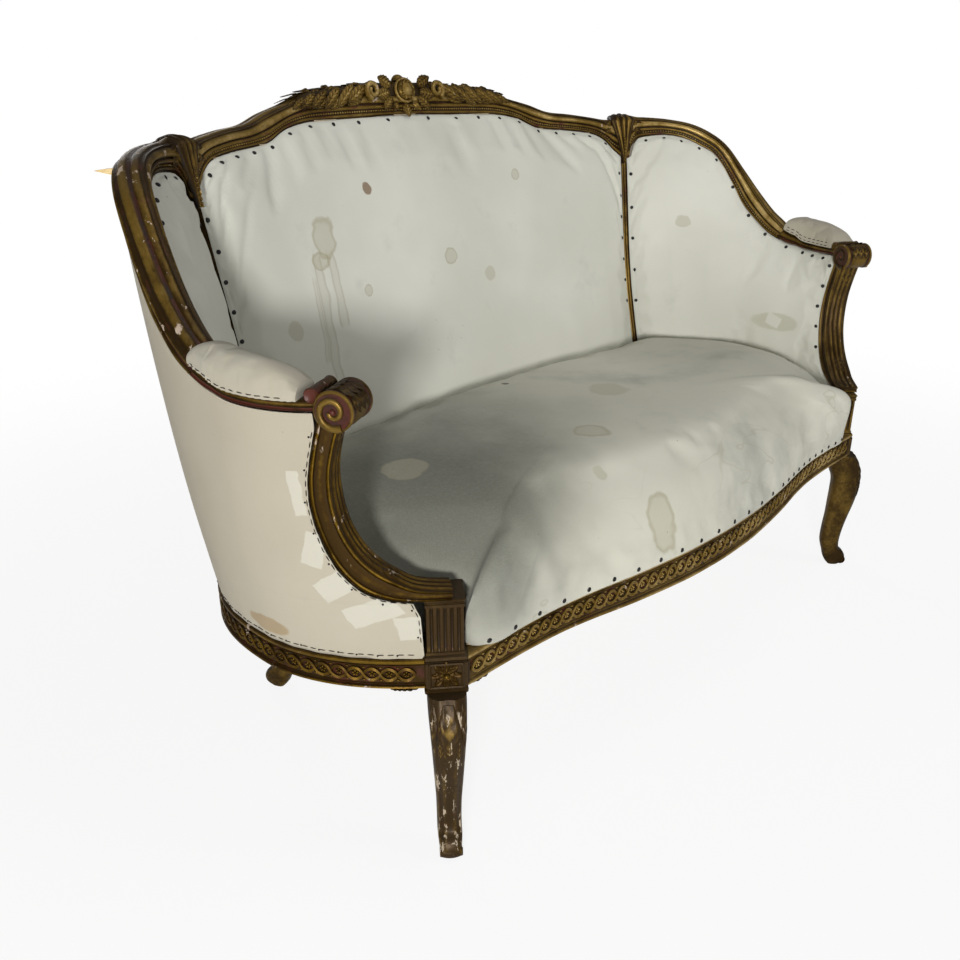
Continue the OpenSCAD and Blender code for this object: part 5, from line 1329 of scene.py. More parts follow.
# Carved brackets under the rails beside the corner blocks
def bracket(shape, b, start, way):
    for run, drop, length in ((0.001, 0.0010, 0.034), (0.018, 0.0005, 0.028)):
        spot, out = b.at(start + way * run, 0.0, -0.014)
        ahead = unit(b.at(start + way * run + 0.003, 0.0, -0.014)[0] - spot) * way
        lean = unit(ahead - upward * 0.20)
        down = unit(-upward - ahead * 0.20)
        place(shape, broadLeaf, spot + upward * drop, lean, out, down, (length, 0.026, 0.030), bole=0.1)


bracket(frontRail, frontBand, inset + 0.004, 1)
bracket(frontRail, frontBand, frontBand.length[-1] - inset - 0.004, -1)
bracket(rightRail, rightBand, 0.001, 1)
makePiece("frontSeatRail", frontRail, giltBandLit, ["front_seat_rail"])
makePair("SeatRail", rightRail, (giltShaded, gilt), ["seat_rail"])
backBand = sideBand(47.6, 132.4)
backRail = Shape()
bandRail(backRail, backBand, band["thick"], 120, 0.0, backBand.length[-1])
makePiece("backSeatRail", backRail, gilt, ["back_seat_rail"])
print("seat rails made")

# Where the fabrics end
upholstery = {"gap": 0.003, "bead": 0.013, "cover": 0.0073, "backPuff": 0.022, "wingPuff": 0.018,
              "backHollow": 0.062, "wingHollow": 0.046}
stileLine = [(e[1], (e[0] + e[2]) / 2) for e in spline(stileRail.edges, np.linspace(0, 1, 11))]
crestInner = [(e[0], e[1]) for e in spline(crestRail.edges, np.linspace(0, 1, 97))]
wingInner = [(e[0], e[1]) for e in spline(wingRail.edges, np.linspace(0, 1, 57))]
wingInner += [(e[0], e[1]) for e in spline(armRail.edges, np.linspace(0, 1, 29)) if e[0] < wingInner[-1][0]]
postSideTh = postTh + float(turnOf(post["block"] / 2, postTh, railTop))
scrollEndTh = -20.08
supportRear = [(e[1], e[0]) for e in spline(supportRail.edges, np.linspace(0, 1, 45)) if e[0] > postSideTh]
sideEnd = supportRear + [(capTop - post["capHeight"], postSideTh), (railTop, postSideTh)]
panelLow = seatLine - 0.020
backHollowShares = [(47.5, 0), (52, 0.25), (58, 0.55), (70, 0.88), (90, 1)]
wingHollowShares = [(-20, 0), (-10, 0.1), (5, 0.45), (23, 1), (36, 0.75), (47.5, 0)]


def stileAt(z):
    return ramp(stileLine, z)


def sideTurn(z):
    return turnOf(upholstery["bead"] / 2 + 0.0008, stileAt(z), z, face)


def endTurn(z):
    return turnOf(upholstery["gap"] * 1.6, arm["scrollTh"], z)


def sideEndAt(z):
    # Clear of the scroll above, and down the support below
    edge = ramp(sideEnd, z)
    return np.where(z > (capTop + armZ) / 2, np.maximum(edge, scrollEndTh), edge) + endTurn(z)


def hollowAt(th):
    around = np.minimum(th, 180 - th)
    back = upholstery["backHollow"] * ramp(backHollowShares, around)
    return np.where(around > cornerTh, back, upholstery["wingHollow"] * ramp(wingHollowShares, around))


def backSpot(s, t):
    topZ, topTh = stileLine[-1]
    th0 = (topTh + sideTurn(topZ)) * (1 - s) + (180 - topTh - sideTurn(topZ)) * s
    z = panelLow * (1 - t) + (ramp(crestInner, th0) - upholstery["gap"]) * t
    side = stileAt(z) + sideTurn(z)
    return side * (1 - s) + (180 - side) * s, z


def wingSpot(s, t):
    th0 = (stileAt(armZ) - sideTurn(armZ)) * (1 - s) + sideEndAt(armZ) * s
    z = (panelLow - 0.024 * s ** 3) * (1 - t) + (ramp(wingInner, th0) - upholstery["gap"]) * t
    return (stileAt(z) - sideTurn(z)) * (1 - s) + sideEndAt(z) * s, z


def swellShare(s, t):
    return (1 - np.abs(2 * s - 1) ** 5) * np.where(t < 0.5, 0.6 + 0.8 * t, 1 - np.abs(2 * t - 1) ** 5)


# Lines of a panel crowd towards its edges
def crowd(count, power=1.6):
    v = np.linspace(-1, 1, count)
    return 0.5 + 0.5 * np.sign(v) * (1 - (1 - np.abs(v)) ** power)


def edgeDrop(distance):
    # How far the fabric sinks to its tacked edge
    return 0.0045 * np.exp(-(distance / 0.0065) ** 1.5)


def makePanel(spotOf, puff, cols, rows, tackPitch, seed):
    rng = np.random.default_rng(seed)
    s, t = np.meshgrid(crowd(cols), 1 - (1 - np.linspace(0, 1, rows)) ** 1.35, indexing="ij")
    th, z = spotOf(s, t)
    swell = upholstery[puff] * swellShare(s, t) + hollowAt(th) * (1 - t)
    base = bodyPoint(th, z, shoulder + upholstery["cover"])
    # Distances to the two sides and the top
    wide = np.linalg.norm(np.diff(base, axis=0), axis=2)
    tall = np.linalg.norm(np.diff(base, axis=1), axis=2)
    fromLeft = np.vstack([np.zeros((1, rows)), np.cumsum(wide, axis=0)])
    fromRight = fromLeft[-1:] - fromLeft
    fromLow = np.hstack([np.zeros((cols, 1)), np.cumsum(tall, axis=1)])
    fromTop = fromLow[:, -1:] - fromLow
    nearest = np.minimum(np.minimum(fromLeft, fromRight), fromTop)
    depth = shoulder + upholstery["cover"] + swell - edgeDrop(nearest)
    # Drawn folds that run in from each tack
    folds = 0
    for run, inward in ((fromLeft, fromTop), (fromLow, fromLeft), (fromLow, fromRight)):
        wobble = 0.35 * np.sin(run * 31 + seed)
        wave = 0.0011 * np.cos(2 * math.pi * run / tackPitch + wobble)
        folds = folds + wave * np.exp(-inward / 0.030) * (inward > 0.001)
    corner = 0
    for side in (fromLeft, fromRight):
        corner = corner + 0.0035 * np.sin((fromTop - side) * 95) * np.exp(-np.hypot(fromTop, side) / 0.06)
    lip = 0.0011 * np.exp(-((nearest - 0.0030) / 0.0016) ** 2)
    lip = lip * (1 + 0.6 * np.sin(fromLow * 420 + fromLeft * 380))
    depth = depth + lip + folds + corner * np.clip(nearest / 0.01, 0, 1)
    front = bodyPoint(th, z, depth)
    # The cut edge wanders a little
    front[..., 2] += 0.0012 * (rng.random((cols, rows)) - 0.5) * (nearest < 0.001)
    shape = Shape()
    shape.sheet(front, bodyPoint(th, z, shoulder + 0.0025))
    held = np.concatenate([(nearest < 0.006) | (t < 0.02), np.ones_like(t, bool)]).ravel()
    return shape, held


clothSettings = {"pressure": 3.0, "frames": 20, "slack": 0.02}


def settle(piece, held, cap, pressure=clothSettings["pressure"], slack=clothSettings["slack"]):
    mesh = piece.data
    start = np.zeros(len(mesh.vertices) * 3)
    mesh.vertices.foreach_get("co", start)
    group = piece.vertex_groups.new(name="held")
    group.add([int(i) for i in np.flatnonzero(held)], 1.0, "REPLACE")
    cloth = piece.modifiers.new("cloth", "CLOTH")
    s = cloth.settings
    s.quality, s.mass = 5, 0.25
    s.tension_stiffness = s.compression_stiffness = 18
    s.shear_stiffness, s.bending_stiffness = 6, 0.6
    s.use_pressure, s.uniform_pressure_force = True, pressure
    s.vertex_group_mass = "held"
    s.shrink_min = -slack
    s.effector_weights.gravity = 0
    cloth.point_cache.frame_start, cloth.point_cache.frame_end = 1, clothSettings["frames"]
    for k in range(1, clothSettings["frames"] + 1):
        scene.frame_set(k)
    done = piece.evaluated_get(bpy.context.evaluated_depsgraph_get()).data
    after = np.zeros_like(start)
    done.vertices.foreach_get("co", after)
    piece.modifiers.remove(cloth)
    piece.vertex_groups.remove(group)
    scene.frame_set(1)
    moved = (after - start).reshape(-1, 3)
    length = np.linalg.norm(moved, axis=1, keepdims=True)
    moved *= np.minimum(1, cap / np.maximum(length, 1e-9))
    mesh.vertices.foreach_set("co", start + moved.ravel())
    mesh.update()


backPitch, wingPitch = 0.048, 0.046  # between tacks
backShape, backHeld = makePanel(backSpot, "backPuff", 121, 61, backPitch, 3)
backPad = makePiece("backPad", backShape, backMuslin, ["back_cover", "back_stuffing"], 80)
settle(backPad, backHeld, 0.010)
wingShape, wingHeld = makePanel(wingSpot, "wingPuff", 91, 57, wingPitch, 5)
wingNodes = ["wing_cover", "wing_stuffing"]
leftWing, rightWing = makePair("WingPad", wingShape, (wingMuslin, wingMuslin), wingNodes, 80)
for piece in (leftWing, rightWing):
    settle(piece, wingHeld, 0.008)
print("panels made")

# Arm pads
padShares = [(0, 0.32), (0.06, 0.46), (0.2, 0.66), (0.42, 0.82), (0.62, 0.82), (0.8, 0.70), (0.93, 0.52),
             (1, 0.26)]
pad = {"start": 0.0, "end": 0.88, "thick": 0.050, "wide": 0.060, "middle": 0.023, "fullness": 0.72}


def makeArmPad():
    steps, arcs = 44, 22
    share = np.linspace(0, 1, steps)
    low, high, outward = armRail.lines(pad["start"] + (pad["end"] - pad["start"]) * share)
    up = unit(high - low)
    level = unit(np.gradient(high, axis=0) * (1, 1, 0))
    up = unit(up - level * np.sum(up * level, axis=1, keepdims=True))
    thick = pad["thick"] * ramp(padShares, share)
    thick = np.convolve(np.pad(thick, 2, mode="edge"), [0.1, 0.2, 0.4, 0.2, 0.1], "valid")
    rows = []
    for k in range(arcs + 1):
        a = math.pi * k / arcs
        lift, side = spow(math.sin(a), pad["fullness"]), spow(math.cos(a), pad["fullness"])
        pucker = 0.0010 * np.sin(share * 150) * (1 - abs(math.sin(a))) ** 2
        inside = pad["middle"] + pad["wide"] / 2 * side * (1 - 0.05 * math.sin(a)) + pucker[:, None]
        rows.append(high + up * (0.0004 + (thick[:, None] * lift)) - outward * inside)
    rows = np.stack(rows, 1)
    shape = Shape()
    shape.grid(rows, 0.5, 0, True, True)
    held = np.zeros((steps, arcs + 1), bool)
    held[:, :2] = held[:, -2:] = True
    held[:1] = held[-1:] = True
    return shape, held.ravel(), rows


padShape, padHeld, padRows = makeArmPad()
leftPad, rightPad = makePair("ArmPad", padShape, (padMuslin, padMuslin), ["arm_pad"], 60)
for piece in (leftPad, rightPad):
    settle(piece, padHeld, 0.005)

# Seat
seat = {"crown": 0.464, "inset": -0.003, "edge": 0.0035, "overhang": 0.017, "corner": 0.022, "rise": 0.112,
        "play": 0.0012, "panel": 0.0069, "clear": 0.0519, "atRail": 0.016}
seatEdgeShares = [(-30, 0.58), (-22, 0.62), (-10, 0.82), (5, 0.97), (23, 1.05), (90, 1.05)]
seatCentre = np.array([0, (float(frontY(0.0)) + backCentre[1]) / 2, 0])


def seatQuarter():
    points = []
    for k in range(10):
        x = k / 9 * (postCentre[0] - post["block"] * 0.95)
        points.append((x, float(frontY(x)) + seat["inset"], railTop - seat["edge"]))
    clear = post["post"] / 2 + 0.0035
    high = capTop - railTop
    block = post["block"]
    roundPost = [(block * 0.1, -clear, 0.07), (-block * 0.35, -clear, 0.29), (-clear, -block * 0.3, 0.57),
                 (-clear, block * 0.35, 0.71)]  # out, sideways, share of the post's height
    for out, side, lift in roundPost:
        spot = postPoint(out, side, 0)
        points.append((spot[0], spot[1], railTop + high * lift))
    for th in (-25, -19, -12, -4, 6, 16, 26, 35, 42, cornerTh, 53, 60, 70, 80, 90):
        puffed = upholstery["backPuff"] if th > cornerTh else upholstery["wingPuff"]
        reach = shoulder + seat["play"] + seat["panel"] + float(hollowAt(float(th))) + puffed * 0.7
        spots = [bodyPoint(th, seatLine, max(seat["clear"], reach)),
                 bodyPoint(th, railTop, seat["clear"] if th == cornerTh else seat["atRail"])]
        spot = min(spots, key=lambda p: np.linalg.norm((p - seatCentre)[:2]))
        points.append((spot[0], spot[1], railTop + seat["rise"] * float(ramp(seatEdgeShares, th))))
    return points


quarter = seatQuarter()
seatEdge = np.array(quarter + [(-x, y, z) for x, y, z in quarter[-2:0:-1]])

# Inside the seat: webs, springs, hessian over them, and a cloth under it all
inner = {
    "wide": 0.050, "thick": 0.0016, "play": 0.0002, "cloth": 0.0015, "flatHalf": 0.0265, "webInset": 0.0192,
    "webReach": 0.6754, "wire": 0.0017, "radius": 0.040, "waist": 0.62, "curls": 4, "height": 0.112,
    "pitch": 0.205, "row": 0.160, "crown": 0.385,
}


def levelDome(edge, s, crown, foot):
    # Ring of a dome whose outline is level and lies a little inside the seat's
    flat = edge * (1, 1, 0) - seatCentre
    reach = np.linalg.norm(flat, axis=1, keepdims=True)
    spot = seatCentre + flat / reach * (reach - 0.0045) * s
    spot[:, 2] = foot + (crown - foot) * (1 - s ** 7) ** 0.5
    return spot


def discForm(shape, top, under, high, low):
    # A closed form between two sets of rings and their middles
    rings, n = top.shape[:2]
    half, last = n * rings, (rings - 1) * n
    middle = top[0].mean(0)
    faces = []
    for i in range(n):
        j = (i + 1) % n
        for k in range(rings - 1):
            a, b, c, d = k * n + i, k * n + j, (k + 1) * n + j, (k + 1) * n + i
            faces += [(a, d, c, b), (half + a, half + b, half + c, half + d)]
        faces += [(2 * half, i, j), (2 * half + 1, half + j, half + i)]
        faces.append((last + i, half + last + i, half + last + j, last + j))
    ends = [(middle[0], middle[1], high), (middle[0], middle[1], low)]
    shape.add(np.concatenate([top.reshape(-1, 3), under.reshape(-1, 3), ends]), faces)


def makeSeat():
    # Even points round the outline, then rings from the middle out to it
    closed = np.vstack([seatEdge[-1:], seatEdge, seatEdge[:2]])
    step = 1 / (len(closed) - 1)
    dense = spline(closed, np.linspace(step, 1 - step, 900))
    length = lengthAlong(dense)
    count = 260
    edge = np.stack([np.interp(np.arange(count) / count * length[-1], length, dense[:, k])
                     for k in range(3)], 1)
    shares = 1 - (1 - np.linspace(0.06, 1, 46)) ** 1.7
    flat = edge * (1, 1, 0) - seatCentre
    underCrown = inner["crown"] + 0.0019
    top, under = [], []
    for s in shares:
        spot = seatCentre + flat * s
        lift = edge[:, 2] + (seat["crown"] - edge[:, 2]) * (1 - s ** 5.2) ** 0.54
        top.append(np.column_stack([spot[:, 0], spot[:, 1], lift]))
        under.append(levelDome(edge, s, underCrown, railTop + 0.0023))
    top, under = np.array(top), np.array(under)
    # Even out the dome, then let its front and corners swell over the rail
    heights = top[..., 2]
    for _ in range(60):
        around = (np.roll(heights, 3, 1) + np.roll(heights, -3, 1)) / 2
        heights[1:-1] = 0.4 * heights[1:-1] + 0.3 * around[1:-1] + 0.15 * (heights[2:] + heights[:-2])
    ahead = np.roll(edge, -1, 0) - np.roll(edge, 1, 0)
    outward = unit(np.column_stack([ahead[:, 1], -ahead[:, 0], 0 * ahead[:, 0]]))
    outward *= np.sign(np.sum(outward * flat, axis=1, keepdims=True))
    # By a post it swells past the post's inner side
    beside = (np.abs(edge[:, 0]) > 0.50) & (edge[:, 1] < -0.30)
    outward[beside] = postWay
    outward[beside, 0] *= np.sign(edge[beside, 0])
    towardsPost = np.clip((np.abs(edge[:, 0]) - 0.25) / 0.25, 0, 1)
    front = np.clip((-edge[:, 1] - 0.20) / 0.10, 0, 1) * (0.45 + 0.55 * towardsPost)
    rim = np.clip((shares - 0.60) / 0.40, 0, 1)
    swellOut = 1.9 * rim ** 1.5 * (1 - rim ** 6)
    # It swells most at the two corners
    nearPost = np.convolve(np.pad(beside.astype(float), 6, mode="wrap"), np.ones(13) / 13, "valid")
    most = seat["overhang"] + seat["corner"] * nearPost
    top[..., :2] += (swellOut[:, None] * (front * most)[None, :])[..., None] * outward[None, :, :2]
    shape = Shape()
    discForm(shape, top, under, seat["crown"], underCrown)
    # All points are held but the top's inner rings and its middle
    half = count * len(shares)
    held = np.ones(2 * half + 2, bool)
    held[:half - 2 * count] = held[2 * half] = False
    return shape, held, edge


seatShape, seatHeld, seatRim = makeSeat()
seatPad = makePiece("seatPad", seatShape, seatMuslin, ["seat_cover", "seat_stuffing"], 80)
settle(seatPad, seatHeld, 0.010, 1.5, 0.01)
print("seat made")


def gridArea(rows):
    areas = np.linalg.norm(np.cross(rows[1:, 1:] - rows[:-1, :-1], rows[1:, :-1] - rows[:-1, 1:]), axis=2) / 2
    return float(areas.sum())


def gridSize(rows):
    wide = np.linalg.norm(np.diff(rows, axis=0), axis=2).sum(0)
    tall = np.linalg.norm(np.diff(rows, axis=1), axis=2).sum(1)
    return float(wide.max()), float(tall.max())


def webForm(shape, line, across, lift):
    # A strip whose middle rises and falls by lift along a line
    half, up = across * inner["wide"] / 2, upward * inner["thick"] / 2
    middle = line + upward * lift[:, None]
    section = [middle - half - up, middle + half - up, middle + half + up, middle - half + up]
    shape.grid(np.stack(section, 1), 0.5, 0.0, True, True)


def weave(run, places, first):
    # 1 over and -1 under at the crossings in turn, with the way between them outside the other web
    keys, values = [run[0] - 1], [1]
    for k, middle in enumerate(places):
        keys += [middle - inner["flatHalf"], middle + inner["flatHalf"]]
        values += [1 if (k + first) % 2 else -1] * 2
    return np.interp(run, keys + [run[-1] + 1], values + [1])


def makeWebbing():
    shape = Shape()
    rise = (inner["thick"] + inner["play"]) / 2
    middle = legHeight - inner["play"] - inner["thick"] - inner["play"] / 2
    flatBack = bodyFlat(np.linspace(20, 90, 141), legHeight)[0]
    rows = [seatCentre[1] + j * inner["row"] / 2 for j in (-1, 0, 1)]
    columns = [i * inner["pitch"] / 2 for i in range(-4, 5)]
    for i, x in enumerate(columns):
        wide = inner["wide"] / 2
        near = max(float(frontY(abs(x) - wide)), float(frontY(abs(x) + wide))) + inner["webInset"]
        far = float(np.interp(abs(x) + wide, flatBack[::-1, 0], flatBack[::-1, 1])) - inner["webInset"]
        run = np.linspace(near, far, 90)
        line = np.column_stack([np.full(90, x), run, np.full(90, middle)])
        webForm(shape, line, np.array([1.0, 0, 0]), rise * weave(run, rows, i))
    for j, y in enumerate(rows):
        run = np.linspace(-inner["webReach"], inner["webReach"], 200)
        line = np.column_stack([run, np.full(200, y), np.full(200, middle)])
        webForm(shape, line, np.array([0, 1.0, 0]), -rise * weave(run, columns, j))
    return shape


def makeSprings():
    shape = Shape()
    u = np.linspace(0, 1, inner["curls"] * 20 + 1)
    angle = 2 * math.pi * inner["curls"] * u + math.pi / 2
    reach = inner["radius"] * (inner["waist"] + (1 - inner["waist"]) * (2 * u - 1) ** 2) - 2 * inner["wire"]
    rise = legHeight + inner["wire"] + 0.00005 + (inner["height"] - 2 * inner["wire"] - 0.0006) * u
    for i in range(-2, 3):
        for j in (-0.5, 0.5):
            x, y = i * inner["pitch"], seatCentre[1] + j * inner["row"]
            coil = np.column_stack([x + reach * np.cos(angle), y + reach * np.sin(angle), rise])
            tube(shape, coil, inner["wire"], 7)
    return shape


def discSheet(name, rings, thick, finish, nodes):
    # Rings of a stretched cloth, by their underside
    over = rings + upward * thick
    shape = Shape()
    discForm(shape, over, rings, float(over[0, :, 2].max()), float(rings[0, :, 2].max()))
    piece = makePiece(name, shape, finish, nodes, 80)
    flat = np.concatenate([rings, rings[:, :1]], 1)
    size = np.ptp(rings.reshape(-1, 3), axis=0)
    return piece, (float(size[0]) * 1.02, float(size[1]) * 1.15), gridArea(flat)


makePiece("seatWebbing", makeWebbing(), webbingCloth, ["seat_webbing"], 60)
makePiece("seatSprings", makeSprings(), springSteel, ["seat_springs"], 60)
domeShares = 1 - (1 - np.linspace(0.02, 1, 34)) ** 1.6
domeRings = np.array([levelDome(seatRim, s, inner["crown"], railTop + 0.0004) for s in domeShares])
hessianPiece, hessianFlat, hessianArea = discSheet("springHessian", domeRings, inner["cloth"], hessianCloth,
                                                   ["spring_hessian"])


# Inset of the cloth under the seat as a share of the rails' thickness; it goes round the back legs
underclothShares = [(-27, 1.2), (-20, 0.5), (36, 0.5), (39, 2.3), (55, 2.3), (58, 0.5), (90, 0.5)]


def makeUndercloth():
    # Outline: along the front rail, round the corner block, then round the body inside the rails
    clear = post["block"] / 2 + upholstery["gap"]
    points = [(x, float(frontY(x)) + inner["webInset"])
              for x in np.linspace(0, postCentre[0] - post["block"], 13)]
    points += [tuple(postPoint(-clear, post["block"] * share, 0.0)[:2]) for share in (-0.75, 0.5)]
    for th in np.arange(-26, 91, 2):
        deep = band["thick"] * ramp(underclothShares, th)
        points.append(tuple(bodyPoint(float(th), legHeight, deep)[:2]))
    outline = np.array(points + [(-x, y) for x, y in points[-2:0:-1]])
    low = legHeight - 3 * inner["play"] - 2 * inner["thick"] - inner["play"] - inner["cloth"] + 0.0001
    rings = []
    for s in np.linspace(0.03, 1, 30):
        flat = seatCentre[:2] + (outline - seatCentre[:2]) * s
        sag = 0.0012 * (1 - s ** 2)
        rings.append(np.column_stack([flat, np.full(len(flat), low - sag)]))
    return np.array(rings)


underPiece, underFlat, underArea = discSheet("dustCover", makeUndercloth(), inner["cloth"], hessianCloth,
                                             ["dust_cover"])


def makeBackWebbing():
    # Upright webs behind the back's stuffing
    shape = Shape()
    for k in range(1, 8):
        turn = cornerTh + (180 - 2 * cornerTh) * k / 8
        half = float(turnOf(inner["wide"] / 2, turn, seatLine))
        high = min(float(ramp(crestInner, turn - half)), float(ramp(crestInner, turn + half))) - 0.0008
        th, z = np.meshgrid(np.linspace(turn - half, turn + half, 9), np.linspace(panelLow, high, 50),
                            indexing="ij")
        front = shoulder + 0.0002
        shape.sheet(bodyPoint(th, z, front), bodyPoint(th, z, front + inner["thick"]))
    return shape


makePiece("backWebbing", makeBackWebbing(), webbingCloth, ["back_webbing"], 60)
print("webs, springs and hessian made", hessianFlat, hessianArea, underFlat, underArea)

# Outside covers, whose front edge reaches the post's flutes below its cap
postSlimTh = postTh + float(turnOf(post["post"] / 2 + 0.0016, postTh, railTop))
capLow = capTop - post["capHeight"]
outsideEnd = supportRear + [(capLow - 0.004, postSideTh), (capLow - 0.010, postSlimTh),
                            (railTop + 0.006, postSlimTh),
                            (railTop + 0.003, postSideTh), (railTop, postSideTh)]
outsideFoot = railTop + 0.0004
seam = float(turnOf(0.0004, cornerTh, armZ))


def outsideEndAt(z):
    edge = ramp(outsideEnd, z + upholstery["gap"] * 0.6)
    return np.where(z > (capTop + armZ) / 2, np.maximum(edge, scrollEndTh), edge) + endTurn(z) * 0.45


def outsideSpot(s, t):
    th0 = cornerTh * (1 - s) + outsideEndAt(armZ) * s
    z = outsideFoot * (1 - t) + (ramp(wingInner, th0) - upholstery["gap"]) * t
    return (cornerTh - seam) * (1 - s) + outsideEndAt(z) * s, z


def outsideBackSpot(s, t):
    th = (cornerTh + seam) * (1 - s) + (180 - cornerTh - seam) * s
    return th, outsideFoot * (1 - t) + (ramp(crestInner, th) - upholstery["gap"]) * t


def makeOutside(spotOf, cols, rows, proud):
    # Lines lie close together where the edge bends round the post's cap
    cornerShare = (capTop - railTop) / (armZ - railTop)
    lines = np.concatenate([np.linspace(0, 0.9, 9) ** 1.3, np.linspace(0.93, 1.5, 27),
                            np.linspace(1.55, 1 / cornerShare, rows - 36)])
    s, t = np.meshgrid(crowd(cols, 1.3), lines * cornerShare, indexing="ij")
    th, z = spotOf(s, t)
    bulge = proud * (np.sin(math.pi * np.clip(s, 0, 1)) ** 0.8) * np.sin(math.pi * t) ** 0.7
    ripple = 0.0006 * np.sin(s * 90 + 2 * np.sin(t * 9)) * np.exp(-t / 0.10)
    ripple = ripple + 0.0005 * np.sin(t * 70) * np.exp(-(1 - s) / 0.08)
    inside = body["outerRebate"] - 0.0004 - 0.0008 - bulge - ripple
    return bodyPoint(th, z, inside - 0.0007), bodyPoint(th, z, inside + 0.0007)


sideOuter, sideInner = makeOutside(outsideSpot, 90, 66, 0.009)
outsideShape = Shape()
outsideShape.sheet(sideOuter, sideInner)
sideFinishes = (outsideMuslin, outsideMuslin)
leftOutside, rightOutside = makePair("OutsideCover", outsideShape, sideFinishes, ["outside_cover"],
                                     80)
backOuter, backInner = makeOutside(outsideBackSpot, 110, 66, 0.003)
outsideBackShape = Shape()
outsideBackShape.sheet(backOuter, backInner)
outsideBack = makePiece("outsideBackCover", outsideBackShape, outsideMuslin,
                        ["outside_back_cover"], 80)
print("outside cover", gridSize(sideOuter), gridArea(sideOuter), "back", gridSize(backOuter),
      gridArea(backOuter))
for piece, rows in ((leftOutside, sideOuter), (rightOutside, sideOuter), (outsideBack, backOuter)):
    gridSize(rows)
    gridArea(rows)
print("outside covers made")

# Tacks: a domed head on each place
tack = {"radius": 0.0040, "height": 0.0022}
tackForm = ballForm(10, 4)


def surfaceOf(piece):
    mesh = piece.data
    return BVHTree.FromPolygons([v.co for v in mesh.vertices], [tuple(p.vertices) for p in mesh.polygons])


def makeTacks(name, places, cloth, nodes, size=1.0):
    # Each place is a point near the cloth; the tack is set on the cloth's nearest face
    tree = surfaceOf(cloth)
    shape = Shape()
    rng = np.random.default_rng(len(places))
    for spot in places:
        hit, normal, _, _ = tree.find_nearest(Vector(spot))
        out = unit(np.array(normal) + 0.14 * (rng.random(3) - 0.5))
        side = unit(np.cross(out, (0.1, 0.2, 1.0)))
        foot, radius = np.array(hit) - out * 0.0004, tack["radius"] * size
        place(shape, tackForm, foot, side, np.cross(out, side), out, (radius, radius, tack["height"]))
    return makePiece(name, shape, tackSteel, nodes, 60)


def panelTacks(spotOf, pitch, wide, tall, inset=0.0042):
    # Along a panel's top edge and down its two sides
    places = []
    across, down = int(wide / pitch), int(tall / pitch)
    for k in range(1, across):
        th, z = spotOf(np.array(k / across), np.array(1.0))
        places.append(bodyPoint(th, z - inset, 0.050))
    for k in range(down):
        t = np.array(0.28 + 0.64 * k / (down - 1))
        for s in (0.0, 1.0):
            th, z = spotOf(np.array(s), t)
            step = float(turnOf(inset, float(th), float(z))) * (1 if spotOf(np.array(0.5), t)[0] > th else -1)
            places.append(bodyPoint(th + step, z, 0.050))
    return places


makeTacks("backTacks", panelTacks(backSpot, backPitch, 1.04, 0.36), backPad, ["back_tacks"])
wingPlaces = panelTacks(wingSpot, wingPitch, 0.62, 0.26)
makeTacks("rightWingTacks", wingPlaces, rightWing, ["right_wing_tacks"])
makeTacks("leftWingTacks", [p * (-1, 1, 1) for p in wingPlaces], leftWing, ["left_wing_tacks"])
seatPlaces, x = [], -0.530
while x < 0.535:
    seatPlaces.append(np.array([x, float(frontY(x)) + seat["inset"] - 0.002, railTop + 0.0035]))
    x += 0.050 if x < 0.20 else 0.030
makeTacks("seatTacks", seatPlaces, seatPad, ["seat_tacks"])


def evenPlaces(spotOf, s, t, count):
    # Places at an even distance along a line of a cover, just outside it
    line = bodyPoint(*spotOf(s, t), -0.012)
    far = lengthAlong(line)
    stops = (np.arange(count) + 0.5) / count * far[-1]
    return [np.array([np.interp(stop, far, line[:, k]) for k in range(3)]) for stop in stops]


outsideRun = np.linspace(0.03, 0.97, 120)
outsidePlaces = evenPlaces(outsideSpot, outsideRun, np.full(120, 0.012), 22)
outsidePlaces += evenPlaces(outsideSpot, np.full(120, 0.993), outsideRun, 9)


def makeStitches(name, lines, cloth, length=0.0085, gap=0.0045):
    # Dark dashes of thread laid on the cloth along each line
    tree = surfaceOf(cloth)
    shape = Shape()
    for line in lines:
        far = lengthAlong(line)
        for start in np.arange(0.004, far[-1] - length, length + gap):
            run = np.linspace(start, start + length, 5)
            spots = []
            for spot in np.stack([np.interp(run, far, line[:, k]) for k in range(3)], 1):
                hit, normal, _, _ = tree.find_nearest(Vector(spot))
                spots.append(np.array(hit) + np.array(normal) * 0.0003)
            tube(shape, spots, np.array([0.0003, 0.0007, 0.0007, 0.0007, 0.0003]), 6)
    return makePiece(name, shape, threadBlack, [], 60)


padEdges = [padRows[2:-2, row] + upward * lift for row, lift in ((0, 0.0035), (0, 0.010), (-1, 0.0035))]
coverEdges = [sideOuter[2:-2, 1] + upward * 0.0015, sideOuter[-2, 3:-2]]
for way, word, padPiece, coverPiece in ((1, "right", rightPad, rightOutside),
                                        (-1, "left", leftPad, leftOutside)):
    makeStitches(word + "PadStitches", [line * (way, 1, 1) for line in padEdges], padPiece)
    makeStitches(word + "CoverStitches", [line * (way, 1, 1) for line in coverEdges], coverPiece)
makeTacks("rightOutsideTacks", outsidePlaces, rightOutside, ["right_outside_tacks"], 0.36)
makeTacks("leftOutsideTacks", [p * (-1, 1, 1) for p in outsidePlaces], leftOutside, ["left_outside_tacks"],
          0.36)
backOutsidePlaces = evenPlaces(outsideBackSpot, outsideRun, np.full(120, 0.022), 26)
backOutsidePlaces += evenPlaces(outsideBackSpot, outsideRun, np.full(120, 0.980), 26)
makeTacks("outsideBackTacks", backOutsidePlaces, outsideBack, ["outside_back_tacks"], 0.6)
print("tacks made")

